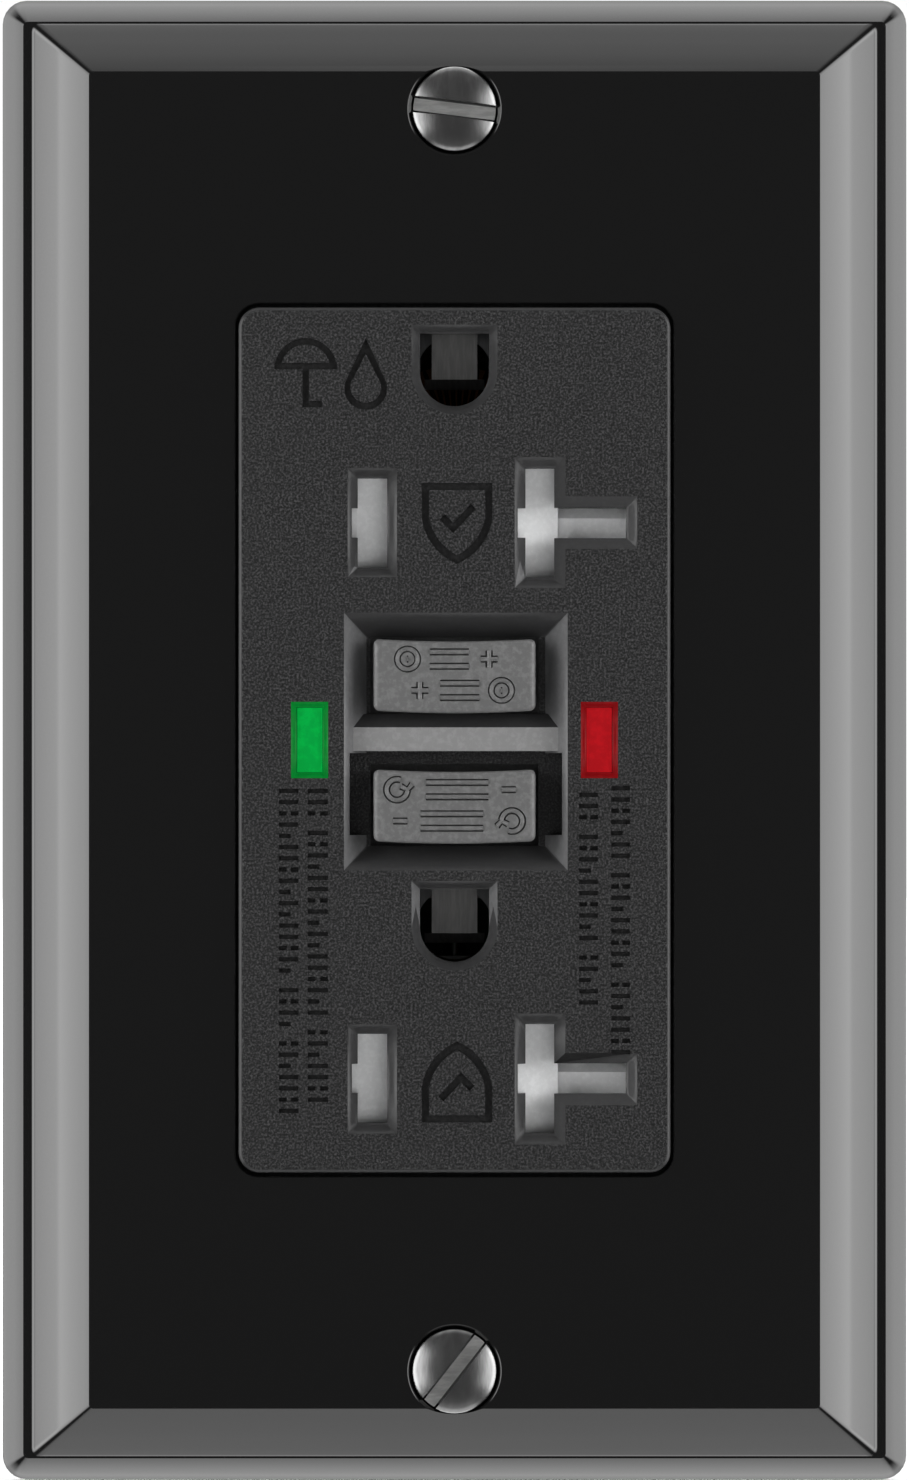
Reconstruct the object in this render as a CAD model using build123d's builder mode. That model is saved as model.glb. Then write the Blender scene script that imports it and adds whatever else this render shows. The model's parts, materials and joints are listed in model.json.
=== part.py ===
from build123d import *
from math import cos, radians, sin
import os

# Ground-fault receptacle with wall plate, in millimetres.
# X runs to the right, Z up, and -Y out of the wall towards the room.
# Y = 0 is the wall, where the back of the mounting strap and the plate's rim bear on it.
# The origin is midway between the two box screws.

os.makedirs("parts", exist_ok=True)

# wall plate
PLATE_W, PLATE_H, PLATE_CORNER = 69.85, 114.3, 1.86
PLATE_Y = -5.6  # front of the flat middle
PLATE_IN_Y = -3.8  # inside of the flat middle
LIP_Y, LIP_R = -2.4, 1.5  # rolled outer lip
LEDGE = 2.13  # from the edge to where the bevel starts
FLAT_W, FLAT_H = 56.1, 102.6  # flat middle, inside the bevels
PLATE_WALL = 1.9
OPENING_W, OPENING_H, OPENING_R = 33.55, 66.85, 1.75
PLATE_SCREW_Z = 48.42  # half of the 96.84 mm between plate screws

# device face and front cover
FACE_W, FACE_H, FACE_R = 33.1, 66.3, 1.6
FACE_Y, FACE_BACK = -6.6, -4.6
FLANGE_W, FLANGE_H = 41.5, 69.0
FLANGE_FRONT, COVER_BACK = -3.4, -1.2
STRAP_T = 1.2

# receptacle faces: blade line heights, and the ground hole above each
RECEPTACLES = {"upper": 16.65, "lower": -25.97}
GROUND_UP = 11.6
HOT_X, NEUTRAL_X = -6.3, 6.55
HOT_W, HOT_H = 2.26, 6.85
NEUTRAL_W, NEUTRAL_H = 2.21, 8.36
LEG_END, LEG_H = 13.16, 2.34
NOTCH_H = 2.28
GROUND_R, GROUND_TOP = 2.65, 2.93
BEVEL_DEPTH = 0.9

# shutters and gates, and the room behind the face that each pair slides in
ROOM_X, ROOM_W, ROOM_H = 0.5, 27.4, 10.9
SHUTTER_LEFT, SHUTTER_RIGHT, SHUTTER_H = -8.0, 7.95, 9.4
SHUTTER_FRONT, SHUTTER_BACK, RAMP_LOW = -4.5, -3.3, -3.7
GATE_LEFT, GATE_W, GATE_LOW, GATE_TOP = 7.8, 6.2, -1.7, 1.2
GATE_BACK, GATE_T = -2.0, 1.2

# indicator windows
LED_X, LED_W, LED_H = 11.1, 2.0, 5.0

# buttons, their pocket and floor
POCKET_W, POCKET_H = 17.14, 19.75
POCKET_FLOOR, POCKET_BACK = -4.2, -3.2
TEST_Z, RESET_Z = 5.0, -5.0
BUTTON_W, BUTTON_H = 12.4, 5.5
TEST_TRAVEL, RESET_TRAVEL, POP_OUT = 1.5, 1.0, 1.6

# strap and its fasteners
STRAP_H = 104.8
BOX_SCREW_Z = 41.67  # half of the 83.34 mm between box screws
SCREW_R = 1.75  # No. 6-32
BOSS_X, BOSS_Z, BOSS_R = 15.9, 30.4, 2.5

# middle frame and housing
FRAME_W, FRAME_H, FRAME_WALL = 39.6, 64.8, 1.2
FRAME_FLOOR, FRAME_BACK = 11.4, 12.4
BODY_W, BODY_H, BODY_BACK, BODY_WALL = 43.0, 68.0, 31.0, 1.4
INNER_BACK = BODY_BACK - BODY_WALL
BOARD_Y, BOARD_T = 23.0, 1.6

# contact arms and latch
ARM_X, ARM_W, ARM_FRONT, ARM_T = 7.4, 3.6, 14.4, 0.6
ARM_PIVOT_Z, ARM_END_Z, CONTACT_Z = 8.0, -12.4, -10.6
LATCH_FRONT, LATCH_BACK = 16.5, 17.3
TRIP_TRAVEL, DROP = 2.0, 1.2
PIN_NECK_R, PIN_HEAD_R = 1.0, 1.75

# solenoid, along Z below the latch
SOLENOID_Y = 17.0
SOLENOID_TOP, SOLENOID_END = -18.1, -29.4

# current transformers, along Y above the latch
CORE_Z, CORE_R, CORE_HOLE = 22.0, 8.1, 3.5

# wire terminals
TERMINALS = {"line": 17.0, "load": -17.0}
TERMINAL_Y = 18.3
TERMINAL_X, TERMINAL_T = 16.0, 1.0
CLAMP_X, HEAD_X = 17.6, 18.7
BAY_H, BAY_FRONT, BAY_BACK = 9.6, 13.0, 24.5


def facing(depth, x=0.0, z=0.0, turn=0.0):
    """Sketch plane at Y = depth: x along X, y along Z, and extrusions come towards the room."""
    x_dir = (cos(radians(turn)), 0, sin(radians(turn)))
    return Plane(origin=(x, depth, z), x_dir=x_dir, z_dir=(0, -1, 0))


def level(height):
    """Sketch plane at Z = height: x along X, y along Y."""
    return Plane(origin=(0, 0, height), x_dir=(1, 0, 0), z_dir=(0, 0, 1))


def side_on(across):
    """Sketch plane at X = across: x along Y, y along Z."""
    return Plane(origin=(across, 0, 0), x_dir=(0, 1, 0), z_dir=(1, 0, 0))


def ground_outline(depth, height, grow=0.0):
    """Ground hole: flat on top, round below."""
    r = GROUND_R + grow
    top = GROUND_TOP + grow
    with BuildSketch(facing(depth, z=height)) as outline:
        with BuildLine():
            Polyline((r, 0), (r, top), (-r, top), (-r, 0))
            ThreePointArc((-r, 0), (0, -r), (r, 0))
        make_face()
    return outline.sketch


def hot_outline(depth, height, grow=0.0):
    """Narrow blade slot."""
    with BuildSketch(facing(depth)) as outline:
        with Locations((HOT_X, height)):
            Rectangle(HOT_W + 2 * grow, HOT_H + 2 * grow)
    return outline.sketch


def neutral_outline(depth, height, grow=0.0):
    """T-shaped blade slot: an upright and a leg that runs outwards."""
    left = NEUTRAL_X - NEUTRAL_W / 2 - grow
    right = NEUTRAL_X + NEUTRAL_W / 2 + grow
    end = LEG_END + grow
    top = NEUTRAL_H / 2 + grow
    leg = LEG_H / 2 + grow
    with BuildSketch(facing(depth, z=height)) as outline:
        with BuildLine():
            Polyline(
                (left, -top), (right, -top), (right, -leg), (end, -leg),
                (end, leg), (right, leg), (right, top), (left, top), (left, -top),
            )
        make_face()
    return outline.sketch


def notch_outline(depth, height):
    """Small notches on the left of both blade slots."""
    with BuildSketch(facing(depth)) as outline:
        with Locations((HOT_X - HOT_W / 2, height)):
            Rectangle(0.9, NOTCH_H)
        with Locations((NEUTRAL_X - NEUTRAL_W / 2, height)):
            Rectangle(1.2, NOTCH_H)
    return outline.sketch


def weather_mark(depth, x, z):
    """Umbrella and drop, in outline."""
    with BuildSketch(facing(depth, x, z)) as mark:
        with Locations((-1.7, 0.2)):
            Circle(2.4)
            Circle(1.9, mode=Mode.SUBTRACT)
        with Locations((-1.7, -1.3)):
            Rectangle(5.4, 3.0, mode=Mode.SUBTRACT)
        with Locations((-1.7, 0.45)):
            Rectangle(4.8, 0.5)
        with Locations((-1.7, -1.1)):
            Rectangle(0.5, 3.0)
        with Locations((-1.2, -2.45)):
            Rectangle(1.5, 0.5)
        for wide, low, shoulder, tip in ((1.45, -2.9, -0.5, 2.6), (0.9, -2.35, -0.4, 1.4)):
            with BuildLine():
                ThreePointArc((2.9 - wide, shoulder), (2.9, low), (2.9 + wide, shoulder))
                Polyline((2.9 + wide, shoulder), (2.9, tip), (2.9 - wide, shoulder))
            make_face(mode=Mode.ADD if wide > 1 else Mode.SUBTRACT)
    return mark.sketch


def shield_mark(depth, x, z, turn):
    """Shield in outline with a tick in it."""
    with BuildSketch(facing(depth, x, z, turn)) as mark:
        for inset, mode in ((0.0, Mode.ADD), (0.55, Mode.SUBTRACT)):
            half, top, low = 2.7 - inset, 3.1 - inset, -3.1 + 1.2 * inset
            with BuildLine():
                Polyline((-half, 0.4), (-half, top), (half, top), (half, 0.4))
                ThreePointArc((half, 0.4), (0.62 * half, -1.9 + inset), (0, low))
                ThreePointArc((0, low), (-0.62 * half, -1.9 + inset), (-half, 0.4))
            make_face(mode=mode)
        with BuildLine():
            Polyline(
                (-1.35, 0.3), (-0.95, 0.7), (-0.3, 0.05), (1.05, 1.5),
                (1.45, 1.1), (-0.3, -0.75), (-1.35, 0.3),
            )
        make_face()
    return mark.sketch


def button_outline(depth, height, inset=0.0):
    """Button seen from the front: its top edge dips and its lower edge bulges by the same amount."""
    half = BUTTON_W / 2 - inset
    top = BUTTON_H / 2 - inset
    sag = 0.2
    with BuildSketch(facing(depth, z=height)) as outline:
        with BuildLine():
            ThreePointArc((-half, top), (0, top - sag), (half, top))
            Line((half, top), (half, -top))
            ThreePointArc((half, -top), (0, -top - sag), (-half, -top))
            Line((-half, -top), (-half, top))
        make_face()
    return outline.sketch


def test_mark(depth, height, turn):
    """Ring with a dot, and bars: read from either way up."""
    with BuildSketch(facing(depth, z=height, turn=turn)) as mark:
        with Locations((-3.6, 1.2)):
            Circle(0.95)
            Circle(0.6, mode=Mode.SUBTRACT)
            Circle(0.25)
        with Locations((-0.4, 1.75), (-0.4, 0.65)):
            Rectangle(3.4, 0.32)
        with Locations((2.6, 1.2)):
            Rectangle(0.32, 1.5)
            Rectangle(1.5, 0.32)
    return mark.sketch


def reset_mark(depth, height, turn):
    """Ring arrow and bars: read from either way up."""
    with BuildSketch(facing(depth, z=height, turn=turn)) as mark:
        with Locations((-4.4, 1.2)):
            Circle(0.98)
            Circle(0.64, mode=Mode.SUBTRACT)
        with Locations((-3.9, 1.75)):
            Rectangle(0.9, 0.9, mode=Mode.SUBTRACT)
        with Locations((-3.6, 1.3)):
            Triangle(a=1.0, b=1.0, c=1.0)
        with Locations((0.2, 1.75), (0.2, 0.65)):
            Rectangle(5.2, 0.32)
        with Locations((4.1, 1.2)):
            Rectangle(1.4, 0.32)
    return mark.sketch


# Wall plate: rolled lip, ledge, mitred bevels and a flat middle, hollow behind.
with BuildPart() as wall_plate:
    with BuildSketch(facing(0)):
        RectangleRounded(PLATE_W, PLATE_H, PLATE_CORNER)
    extrude(amount=-LIP_Y)
    fillet(wall_plate.faces().sort_by(Axis.Y)[0].edges(), LIP_R)
    with BuildSketch(facing(LIP_Y)):
        Rectangle(PLATE_W - 2 * LEDGE, PLATE_H - 2 * LEDGE)
    with BuildSketch(facing(PLATE_Y)):
        Rectangle(FLAT_W, FLAT_H)
    loft()
    with BuildSketch(facing(0)):
        Rectangle(PLATE_W - 2 * PLATE_WALL, PLATE_H - 2 * PLATE_WALL)
    extrude(amount=0.7, mode=Mode.SUBTRACT)
    with BuildSketch(facing(-0.7)):
        Rectangle(PLATE_W - 2 * PLATE_WALL, PLATE_H - 2 * PLATE_WALL)
    with BuildSketch(facing(PLATE_IN_Y)):
        Rectangle(FLAT_W - 1.0, FLAT_H - 1.0)
    loft(mode=Mode.SUBTRACT)
    with BuildSketch(facing(-1.3)):
        with Locations((0, PLATE_SCREW_Z), (0, -PLATE_SCREW_Z)):
            Circle(3.2)
    extrude(until=Until.NEXT)
    with BuildSketch(facing(0)):
        RectangleRounded(OPENING_W, OPENING_H, OPENING_R)
    extrude(amount=-PLATE_Y, mode=Mode.SUBTRACT)
    with Locations((0, PLATE_Y, PLATE_SCREW_Z), (0, PLATE_Y, -PLATE_SCREW_Z)):
        with Locations(Rotation(90, 0, 0)):
            CounterSinkHole(radius=1.95, counter_sink_radius=3.5, depth=6, counter_sink_angle=82)
wall_plate.part.label = "wall_plate"
export_step(wall_plate.part, "parts/wall_plate.step")

# Two oval-head slotted screws hold the plate to the strap.
with BuildPart() as wall_plate_screws:
    for height, slot_turn in ((PLATE_SCREW_Z, -7), (-PLATE_SCREW_Z, 52)):
        with BuildSketch(level(height)):
            with BuildLine():
                ThreePointArc((0, -6.25), (1.75, -6.03), (3.3, -5.4))
                Polyline((3.3, -5.4), (SCREW_R, -3.6), (SCREW_R, 7.4), (1.25, 8.0), (0, 8.0), (0, -6.25))
            make_face()
        revolve(axis=Axis((0, 0, height), (0, 1, 0)))
        with BuildSketch(facing(-5.3)):
            with Locations((0, height)):
                Rectangle(8.0, 1.15, rotation=slot_turn)
        extrude(amount=2.0, mode=Mode.SUBTRACT)
wall_plate_screws.part.label = "wall_plate_screws"
export_step(wall_plate_screws.part, "parts/wall_plate_screws.step")

# Front cover: the face that shows in the plate, on a wider flange that sits on the strap.
with BuildPart() as front_cover:
    with BuildSketch(facing(COVER_BACK)):
        RectangleRounded(FLANGE_W, FLANGE_H, 2.5)
    extrude(amount=COVER_BACK - FLANGE_FRONT)
    with BuildSketch(facing(FLANGE_FRONT)):
        RectangleRounded(FACE_W, FACE_H, FACE_R)
    extrude(amount=FLANGE_FRONT - FACE_Y)
    fillet(front_cover.faces().sort_by(Axis.Y)[0].edges(), 0.35)
    # rooms behind the face for the shutters and the ground leaves, and the mouths in front of them
    for blades in RECEPTACLES.values():
        ground = blades + GROUND_UP
        with BuildSketch(facing(COVER_BACK)):
            with Locations((ROOM_X, blades)):
                Rectangle(ROOM_W, ROOM_H)
            with Locations((0, ground + 0.45)):
                Rectangle(6.4, 7.3)
        extrude(amount=COVER_BACK - FACE_BACK, mode=Mode.SUBTRACT)
        for outline, grow in ((ground_outline, 0.64), (hot_outline, 0.76), (neutral_outline, 0.84)):
            height = ground if outline is ground_outline else blades
            loft([outline(FACE_Y, height, grow), outline(FACE_Y + BEVEL_DEPTH, height)], mode=Mode.SUBTRACT)
            extrude(outline(FACE_BACK, height), amount=FACE_BACK - FACE_Y, mode=Mode.SUBTRACT)
        extrude(notch_outline(FACE_BACK, blades), amount=FACE_BACK - FACE_Y, mode=Mode.SUBTRACT)
    # button pocket: sloped walls, an upright-walled well at the lower button, and a bar between them
    with BuildSketch(facing(FACE_Y)):
        with Locations((0.1, -0.12)):
            Rectangle(POCKET_W, POCKET_H)
    with BuildSketch(facing(POCKET_FLOOR)):
        with Locations((0.1, -0.12)):
            Rectangle(POCKET_W - 3.4, POCKET_H - 3.7)
    loft(mode=Mode.SUBTRACT)
    with BuildSketch(facing(POCKET_FLOOR)):
        with Locations((0.1, -4.15)):
            Rectangle(16.3, 6.3)
    extrude(amount=2.1, mode=Mode.SUBTRACT)
    with BuildSketch(side_on(-8.0)):
        with BuildLine():
            Polyline((-5.6, -0.85), (-5.6, 0.97), (-4.5, 2.0), (-3.9, 2.0), (-3.9, -0.85), (-5.6, -0.85))
        make_face()
    extrude(amount=16.2)
    with BuildSketch(facing(COVER_BACK)):
        Rectangle(15.4, 17.0)
    extrude(amount=COVER_BACK - POCKET_BACK, mode=Mode.SUBTRACT)
    with BuildSketch(facing(POCKET_BACK)):
        with Locations((0, TEST_Z), (0, RESET_Z)):
            Rectangle(BUTTON_W + 0.5, BUTTON_H + 0.8)
    extrude(amount=1.0, mode=Mode.SUBTRACT)
    # indicator windows
    for x in (-LED_X, LED_X):
        with BuildSketch(facing(FACE_Y)):
            with Locations((x, 0)):
                Rectangle(LED_W + 0.85, LED_H + 0.85)
        with BuildSketch(facing(FACE_Y + 0.5)):
            with Locations((x, 0)):
                Rectangle(LED_W, LED_H)
        loft(mode=Mode.SUBTRACT)
        with BuildSketch(facing(COVER_BACK)):
            with Locations((x, 0)):
                Rectangle(LED_W, LED_H)
        extrude(amount=COVER_BACK - FACE_Y, mode=Mode.SUBTRACT)
    # pilot holes for the housing screws
    with BuildSketch(facing(COVER_BACK)):
        with GridLocations(2 * BOSS_X, 2 * BOSS_Z, 2, 2):
            Circle(1.3)
    extrude(amount=1.8, mode=Mode.SUBTRACT)
    # engraved marks
    extrude(weather_mark(FACE_Y + 0.22, -9.7, 28.2), amount=1.0, mode=Mode.SUBTRACT)
    extrude(shield_mark(FACE_Y + 0.22, 0.2, 16.6, 0), amount=1.0, mode=Mode.SUBTRACT)
    extrude(shield_mark(FACE_Y + 0.22, 0.2, -26.2, 180), amount=1.0, mode=Mode.SUBTRACT)
front_cover.part.label = "front_cover"
export_step(front_cover.part, "parts/front_cover.step")

# Test button: curved cap, retaining flange and a stem that reaches the test leaf.
with BuildPart() as test_button:
    extrude(button_outline(-2.5, TEST_Z), amount=4.25)
    fillet(test_button.faces().sort_by(Axis.Y)[0].edges(), 0.5)
    with BuildSketch(facing(-2.5)):
        with Locations((0, TEST_Z)):
            Rectangle(BUTTON_W + 1.8, BUTTON_H + 1.3)
    extrude(amount=0.6)
    with BuildSketch(facing(2.0)):
        with Locations((0, TEST_Z)):
            Circle(1.5)
    extrude(amount=4.5)
    for turn in (0, 180):
        extrude(test_mark(-6.6, TEST_Z, turn), amount=0.3)
test_button.part.label = "test_button"
export_step(test_button.part, "parts/test_button.step")

# Reset button: the same cap on a deeper skirt, bored for the reset pin.
with BuildPart() as reset_button:
    extrude(button_outline(-0.9, RESET_Z), amount=6.1)
    fillet(reset_button.faces().sort_by(Axis.Y)[0].edges(), 0.5)
    with BuildSketch(facing(-0.9)):
        with Locations((0, RESET_Z)):
            Rectangle(BUTTON_W + 1.8, BUTTON_H + 1.3)
    extrude(amount=0.6)
    with BuildSketch(facing(-0.9)):
        with Locations((0, RESET_Z)):
            Circle(1.5)
    extrude(amount=3.6, mode=Mode.SUBTRACT)
    for turn in (0, 180):
        extrude(reset_mark(-6.8, RESET_Z, turn), amount=0.35)
reset_button.part.label = "reset_button"
export_step(reset_button.part, "parts/reset_button.step")

# Reset pin: shank, neck, coned shoulder that catches the latch plate, and a pointed end.
NECK_START = LATCH_FRONT - RESET_TRAVEL - 0.1
SHOULDER = LATCH_BACK + 0.05
SHOULDER_END = SHOULDER + 1.45 * (PIN_HEAD_R - PIN_NECK_R)
with BuildPart() as reset_pin:
    with BuildSketch(level(RESET_Z)):
        with BuildLine():
            Polyline(
                (0, -4.5), (1.5, -4.5), (1.5, NECK_START), (PIN_NECK_R, NECK_START), (PIN_NECK_R, SHOULDER),
                (PIN_HEAD_R, SHOULDER_END), (PIN_HEAD_R, 19.4), (0.5, 20.6), (0, 20.6), (0, -4.5),
            )
        make_face()
    revolve(axis=Axis((0, 0, RESET_Z), (0, 1, 0)))
reset_pin.part.label = "reset_pin"
export_step(reset_pin.part, "parts/reset_pin.step")

# Reset spring: the sleeve that its turns fill, round the pin, from the button to the frame's floor.
with BuildPart() as reset_spring:
    with BuildSketch(facing(FRAME_FLOOR)):
        with Locations((0, RESET_Z)):
            Circle(2.5)
            Circle(2.0, mode=Mode.SUBTRACT)
    extrude(amount=FRAME_FLOOR + 0.9)
reset_spring.part.label = "reset_spring"
export_step(reset_spring.part, "parts/reset_spring.step")

# Test leaf: a springy strip on a post of the middle frame, bent by the test button.
LEAF_Y = 2.05
with BuildPart() as test_leaf:
    with BuildSketch(facing(LEAF_Y + 0.3)):
        with Locations((-1.4, TEST_Z)):
            Rectangle(13.2, 3.0)
    extrude(amount=0.3)
    with BuildSketch(facing(LEAF_Y)):
        with Locations((-6.9, TEST_Z)):
            Circle(0.8)
    extrude(amount=0.4)
test_leaf.part.label = "test_leaf"
export_step(test_leaf.part, "parts/test_leaf.step")

# Test contact pin: stands under the leaf's free end and goes through to the board.
with BuildPart() as test_contact_pin:
    with BuildSketch(facing(BOARD_Y)):
        with Locations((4.2, TEST_Z)):
            Circle(0.5)
    extrude(amount=BOARD_Y - LEAF_Y - 2.0)
    with BuildSketch(facing(LEAF_Y + 2.6)):
        with Locations((4.2, TEST_Z)):
            Circle(0.9)
    extrude(amount=0.6)
test_contact_pin.part.label = "test_contact_pin"
export_step(test_contact_pin.part, "parts/test_contact_pin.step")

# Light pipes: a bar from each lamp to its window, with a collar behind the strap.
for colour, x in (("green", -LED_X), ("red", LED_X)):
    with BuildPart() as light_pipe:
        with BuildSketch(facing(FRAME_BACK + 0.4)):
            with Locations((x, 0)):
                Rectangle(LED_W - 0.08, LED_H - 0.08)
        extrude(amount=FRAME_BACK + 0.4 + 6.1)
        with BuildSketch(facing(1.0)):
            with Locations((x, 0)):
                Rectangle(LED_W + 1.2, LED_H + 1.2)
        extrude(amount=0.8)
    light_pipe.part.label = f"{colour}_light_pipe"
    export_step(light_pipe.part, f"parts/{colour}_light_pipe.step")

# Lamps: a domed body with a rim and two leads, one behind each light pipe.
with BuildPart() as indicator_lamps:
    for x in (-LED_X, LED_X):
        with BuildSketch(level(0)):
            with BuildLine():
                ThreePointArc((x, 13.2), (x + 0.95, 13.6), (x + 1.35, 14.6))
                Polyline((x + 1.35, 14.6), (x + 1.35, 17.2), (x, 17.2), (x, 13.2))
            make_face()
        revolve(axis=Axis((x, 0, 0), (0, 1, 0)))
        with BuildSketch(facing(BOARD_Y)):
            with Locations((x, 0.8), (x, -0.8)):
                Rectangle(0.5, 0.5)
        extrude(amount=BOARD_Y - 17.2)
indicator_lamps.part.label = "indicator_lamps"
export_step(indicator_lamps.part, "parts/indicator_lamps.step")

# Shutters: the front slide blocks the hot slot and the neutral upright and moves left to open;
# the gate behind it blocks the neutral leg and moves down. Each has a spring in its plane.
for place, blades in RECEPTACLES.items():
    with BuildPart() as shutter:
        with BuildSketch(level(blades - SHUTTER_H / 2)):
            for left, flat_to, right in ((SHUTTER_LEFT, -7.5, -4.55), (-2.05, 4.9, SHUTTER_RIGHT)):
                with BuildLine():
                    Polyline(
                        (left, SHUTTER_BACK), (left, SHUTTER_FRONT), (flat_to, SHUTTER_FRONT),
                        (right, RAMP_LOW), (right, SHUTTER_BACK), (left, SHUTTER_BACK),
                    )
                make_face()
        extrude(amount=SHUTTER_H)
        for low in (blades - SHUTTER_H / 2, blades + SHUTTER_H / 2 - 1.0):
            with BuildSketch(level(low)):
                with Locations((-3.3, (SHUTTER_FRONT + SHUTTER_BACK) / 2)):
                    Rectangle(2.6, SHUTTER_BACK - SHUTTER_FRONT)
            extrude(amount=1.0)
    shutter.part.label = f"{place}_shutter"
    export_step(shutter.part, f"parts/{place}_shutter.step")

    with BuildPart() as leg_gate:
        with BuildSketch(facing(GATE_BACK)):
            with Locations((GATE_LEFT + GATE_W / 2, blades + (GATE_LOW + GATE_TOP) / 2)):
                Rectangle(GATE_W, GATE_TOP - GATE_LOW)
        extrude(amount=GATE_T)
        chamfer(leg_gate.faces().sort_by(Axis.Y)[0].edges().sort_by(Axis.Z)[-1], 0.8)
    leg_gate.part.label = f"{place}_leg_gate"
    export_step(leg_gate.part, f"parts/{place}_leg_gate.step")

    with BuildPart() as shutter_spring:
        with BuildSketch(side_on(ROOM_X - ROOM_W / 2 + 0.1)):
            with Locations(((SHUTTER_FRONT + SHUTTER_BACK) / 2, blades)):
                Circle(0.55)
                Circle(0.3, mode=Mode.SUBTRACT)
        extrude(amount=SHUTTER_LEFT - ROOM_X + ROOM_W / 2 - 0.1)
    shutter_spring.part.label = f"{place}_shutter_spring"
    export_step(shutter_spring.part, f"parts/{place}_shutter_spring.step")

    with BuildPart() as gate_spring:
        with BuildSketch(level(blades - ROOM_H / 2 + 0.1)):
            with Locations((GATE_LEFT + GATE_W / 2, GATE_BACK - GATE_T / 2)):
                Circle(0.5)
                Circle(0.28, mode=Mode.SUBTRACT)
        extrude(amount=ROOM_H / 2 - 0.1 + GATE_LOW)
    gate_spring.part.label = f"{place}_gate_spring"
    export_step(gate_spring.part, f"parts/{place}_gate_spring.step")

# Shutter retainers: thin plates behind the shutters, cut for the blades.
with BuildPart() as shutter_retainers:
    for blades in RECEPTACLES.values():
        with BuildSketch(facing(COVER_BACK - 0.05)):
            with Locations((ROOM_X, blades)):
                Rectangle(ROOM_W - 0.2, ROOM_H - 0.2)
            with Locations((HOT_X, blades)):
                Rectangle(3.0, 7.8, mode=Mode.SUBTRACT)
            with Locations((NEUTRAL_X, blades)):
                Rectangle(3.0, 9.2, mode=Mode.SUBTRACT)
            with Locations((10.3, blades)):
                Rectangle(7.0, 3.0, mode=Mode.SUBTRACT)
        extrude(amount=0.65)
shutter_retainers.part.label = "shutter_retainers"
export_step(shutter_retainers.part, "parts/shutter_retainers.step")

# Mounting strap: one steel pressing with ears, slotted and tapped ends and a ground tab.
with BuildPart() as mounting_strap:
    with BuildSketch(facing(0)):
        RectangleRounded(37.6, 66.0, 2.0)
        RectangleRounded(22.0, STRAP_H, 2.5)
        with Locations((0, BOX_SCREW_Z - 1.0), (0, -BOX_SCREW_Z + 1.0)):
            RectangleRounded(38.0, 9.0, 4.0)
        with GridLocations(27.0, 2 * (BOX_SCREW_Z - 1.0), 2, 2):
            Rectangle(0.8, 6.4, mode=Mode.SUBTRACT)
        with Locations((0, BOX_SCREW_Z), (0, -BOX_SCREW_Z)):
            SlotOverall(7.4, 4.4, mode=Mode.SUBTRACT)
        with Locations((0, PLATE_SCREW_Z), (0, -PLATE_SCREW_Z)):
            Circle(SCREW_R + 0.02, mode=Mode.SUBTRACT)
        with GridLocations(2 * BOSS_X, 2 * BOSS_Z, 2, 2):
            Circle(1.6, mode=Mode.SUBTRACT)
        for blades in RECEPTACLES.values():
            with Locations((HOT_X, blades)):
                Rectangle(4.6, 8.8, mode=Mode.SUBTRACT)
            with Locations((9.4, blades)):
                Rectangle(9.4, 10.0, mode=Mode.SUBTRACT)
            with Locations((0, blades + GROUND_UP)):
                Circle(2.95, mode=Mode.SUBTRACT)
        with Locations((LED_X, 0), (-LED_X, 0)):
            Rectangle(LED_W + 0.6, LED_H + 0.6, mode=Mode.SUBTRACT)
        Rectangle(15.6, 17.2, mode=Mode.SUBTRACT)
    extrude(amount=STRAP_T)
    for end in (PLATE_SCREW_Z, -PLATE_SCREW_Z):
        with BuildSketch(facing(1.4)):
            with Locations((0, end)):
                Circle(2.7)
                Circle(SCREW_R + 0.02, mode=Mode.SUBTRACT)
        extrude(amount=1.4)
    with BuildSketch(level(-37.0)):
        with Locations((-7.0, 4.4)):
            Rectangle(8.0, 9.0)
        with Locations((-7.0, 5.0)):
            Circle(1.92, mode=Mode.SUBTRACT)
    extrude(amount=1.2)
mounting_strap.part.label = "mounting_strap"
export_step(mounting_strap.part, "parts/mounting_strap.step")

# Ground contacts: a leaf on the strap that reaches down across each ground hole, with a flared lip.
with BuildPart() as ground_contacts:
    for blades in RECEPTACLES.values():
        ground = blades + GROUND_UP
        with BuildSketch(side_on(-1.75)):
            with BuildLine():
                Polyline(
                    (-1.25, ground + 3.2), (-1.25, ground + 3.9), (-3.65, ground + 3.9), (-3.65, ground + 3.4),
                    (-3.2, ground - 0.5), (-2.8, ground - 0.5), (-3.2, ground + 3.2), (-1.25, ground + 3.2),
                )
            make_face()
        extrude(amount=3.5)
        with BuildSketch(side_on(-2.3)):
            with BuildLine():
                Polyline(
                    (-3.2, ground - 0.5), (-2.5, ground - 1.25), (-2.1, ground - 1.25),
                    (-2.8, ground - 0.5), (-3.2, ground - 0.5),
                )
            make_face()
        extrude(amount=4.6)
ground_contacts.part.label = "ground_contacts"
export_step(ground_contacts.part, "parts/ground_contacts.step")

# Ground screw: hex washer head with a slot, in the strap's tab.
with BuildPart() as ground_screw:
    with BuildSketch(level(-39.9)):
        with Locations((-7.0, 5.0)):
            RegularPolygon(3.6, 6, major_radius=False, rotation=30)
    extrude(amount=1.9)
    with BuildSketch(level(-38.0)):
        with Locations((-7.0, 5.0)):
            Circle(4.0)
    extrude(amount=0.8)
    with BuildSketch(level(-37.2)):
        with Locations((-7.0, 5.0)):
            Circle(1.9)
    extrude(amount=2.8)
    with BuildSketch(level(-39.9)):
        with Locations((-7.0, 5.0)):
            Rectangle(9.0, 1.2)
    extrude(amount=1.1, mode=Mode.SUBTRACT)
ground_screw.part.label = "ground_screw"
export_step(ground_screw.part, "parts/ground_screw.step")

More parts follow.
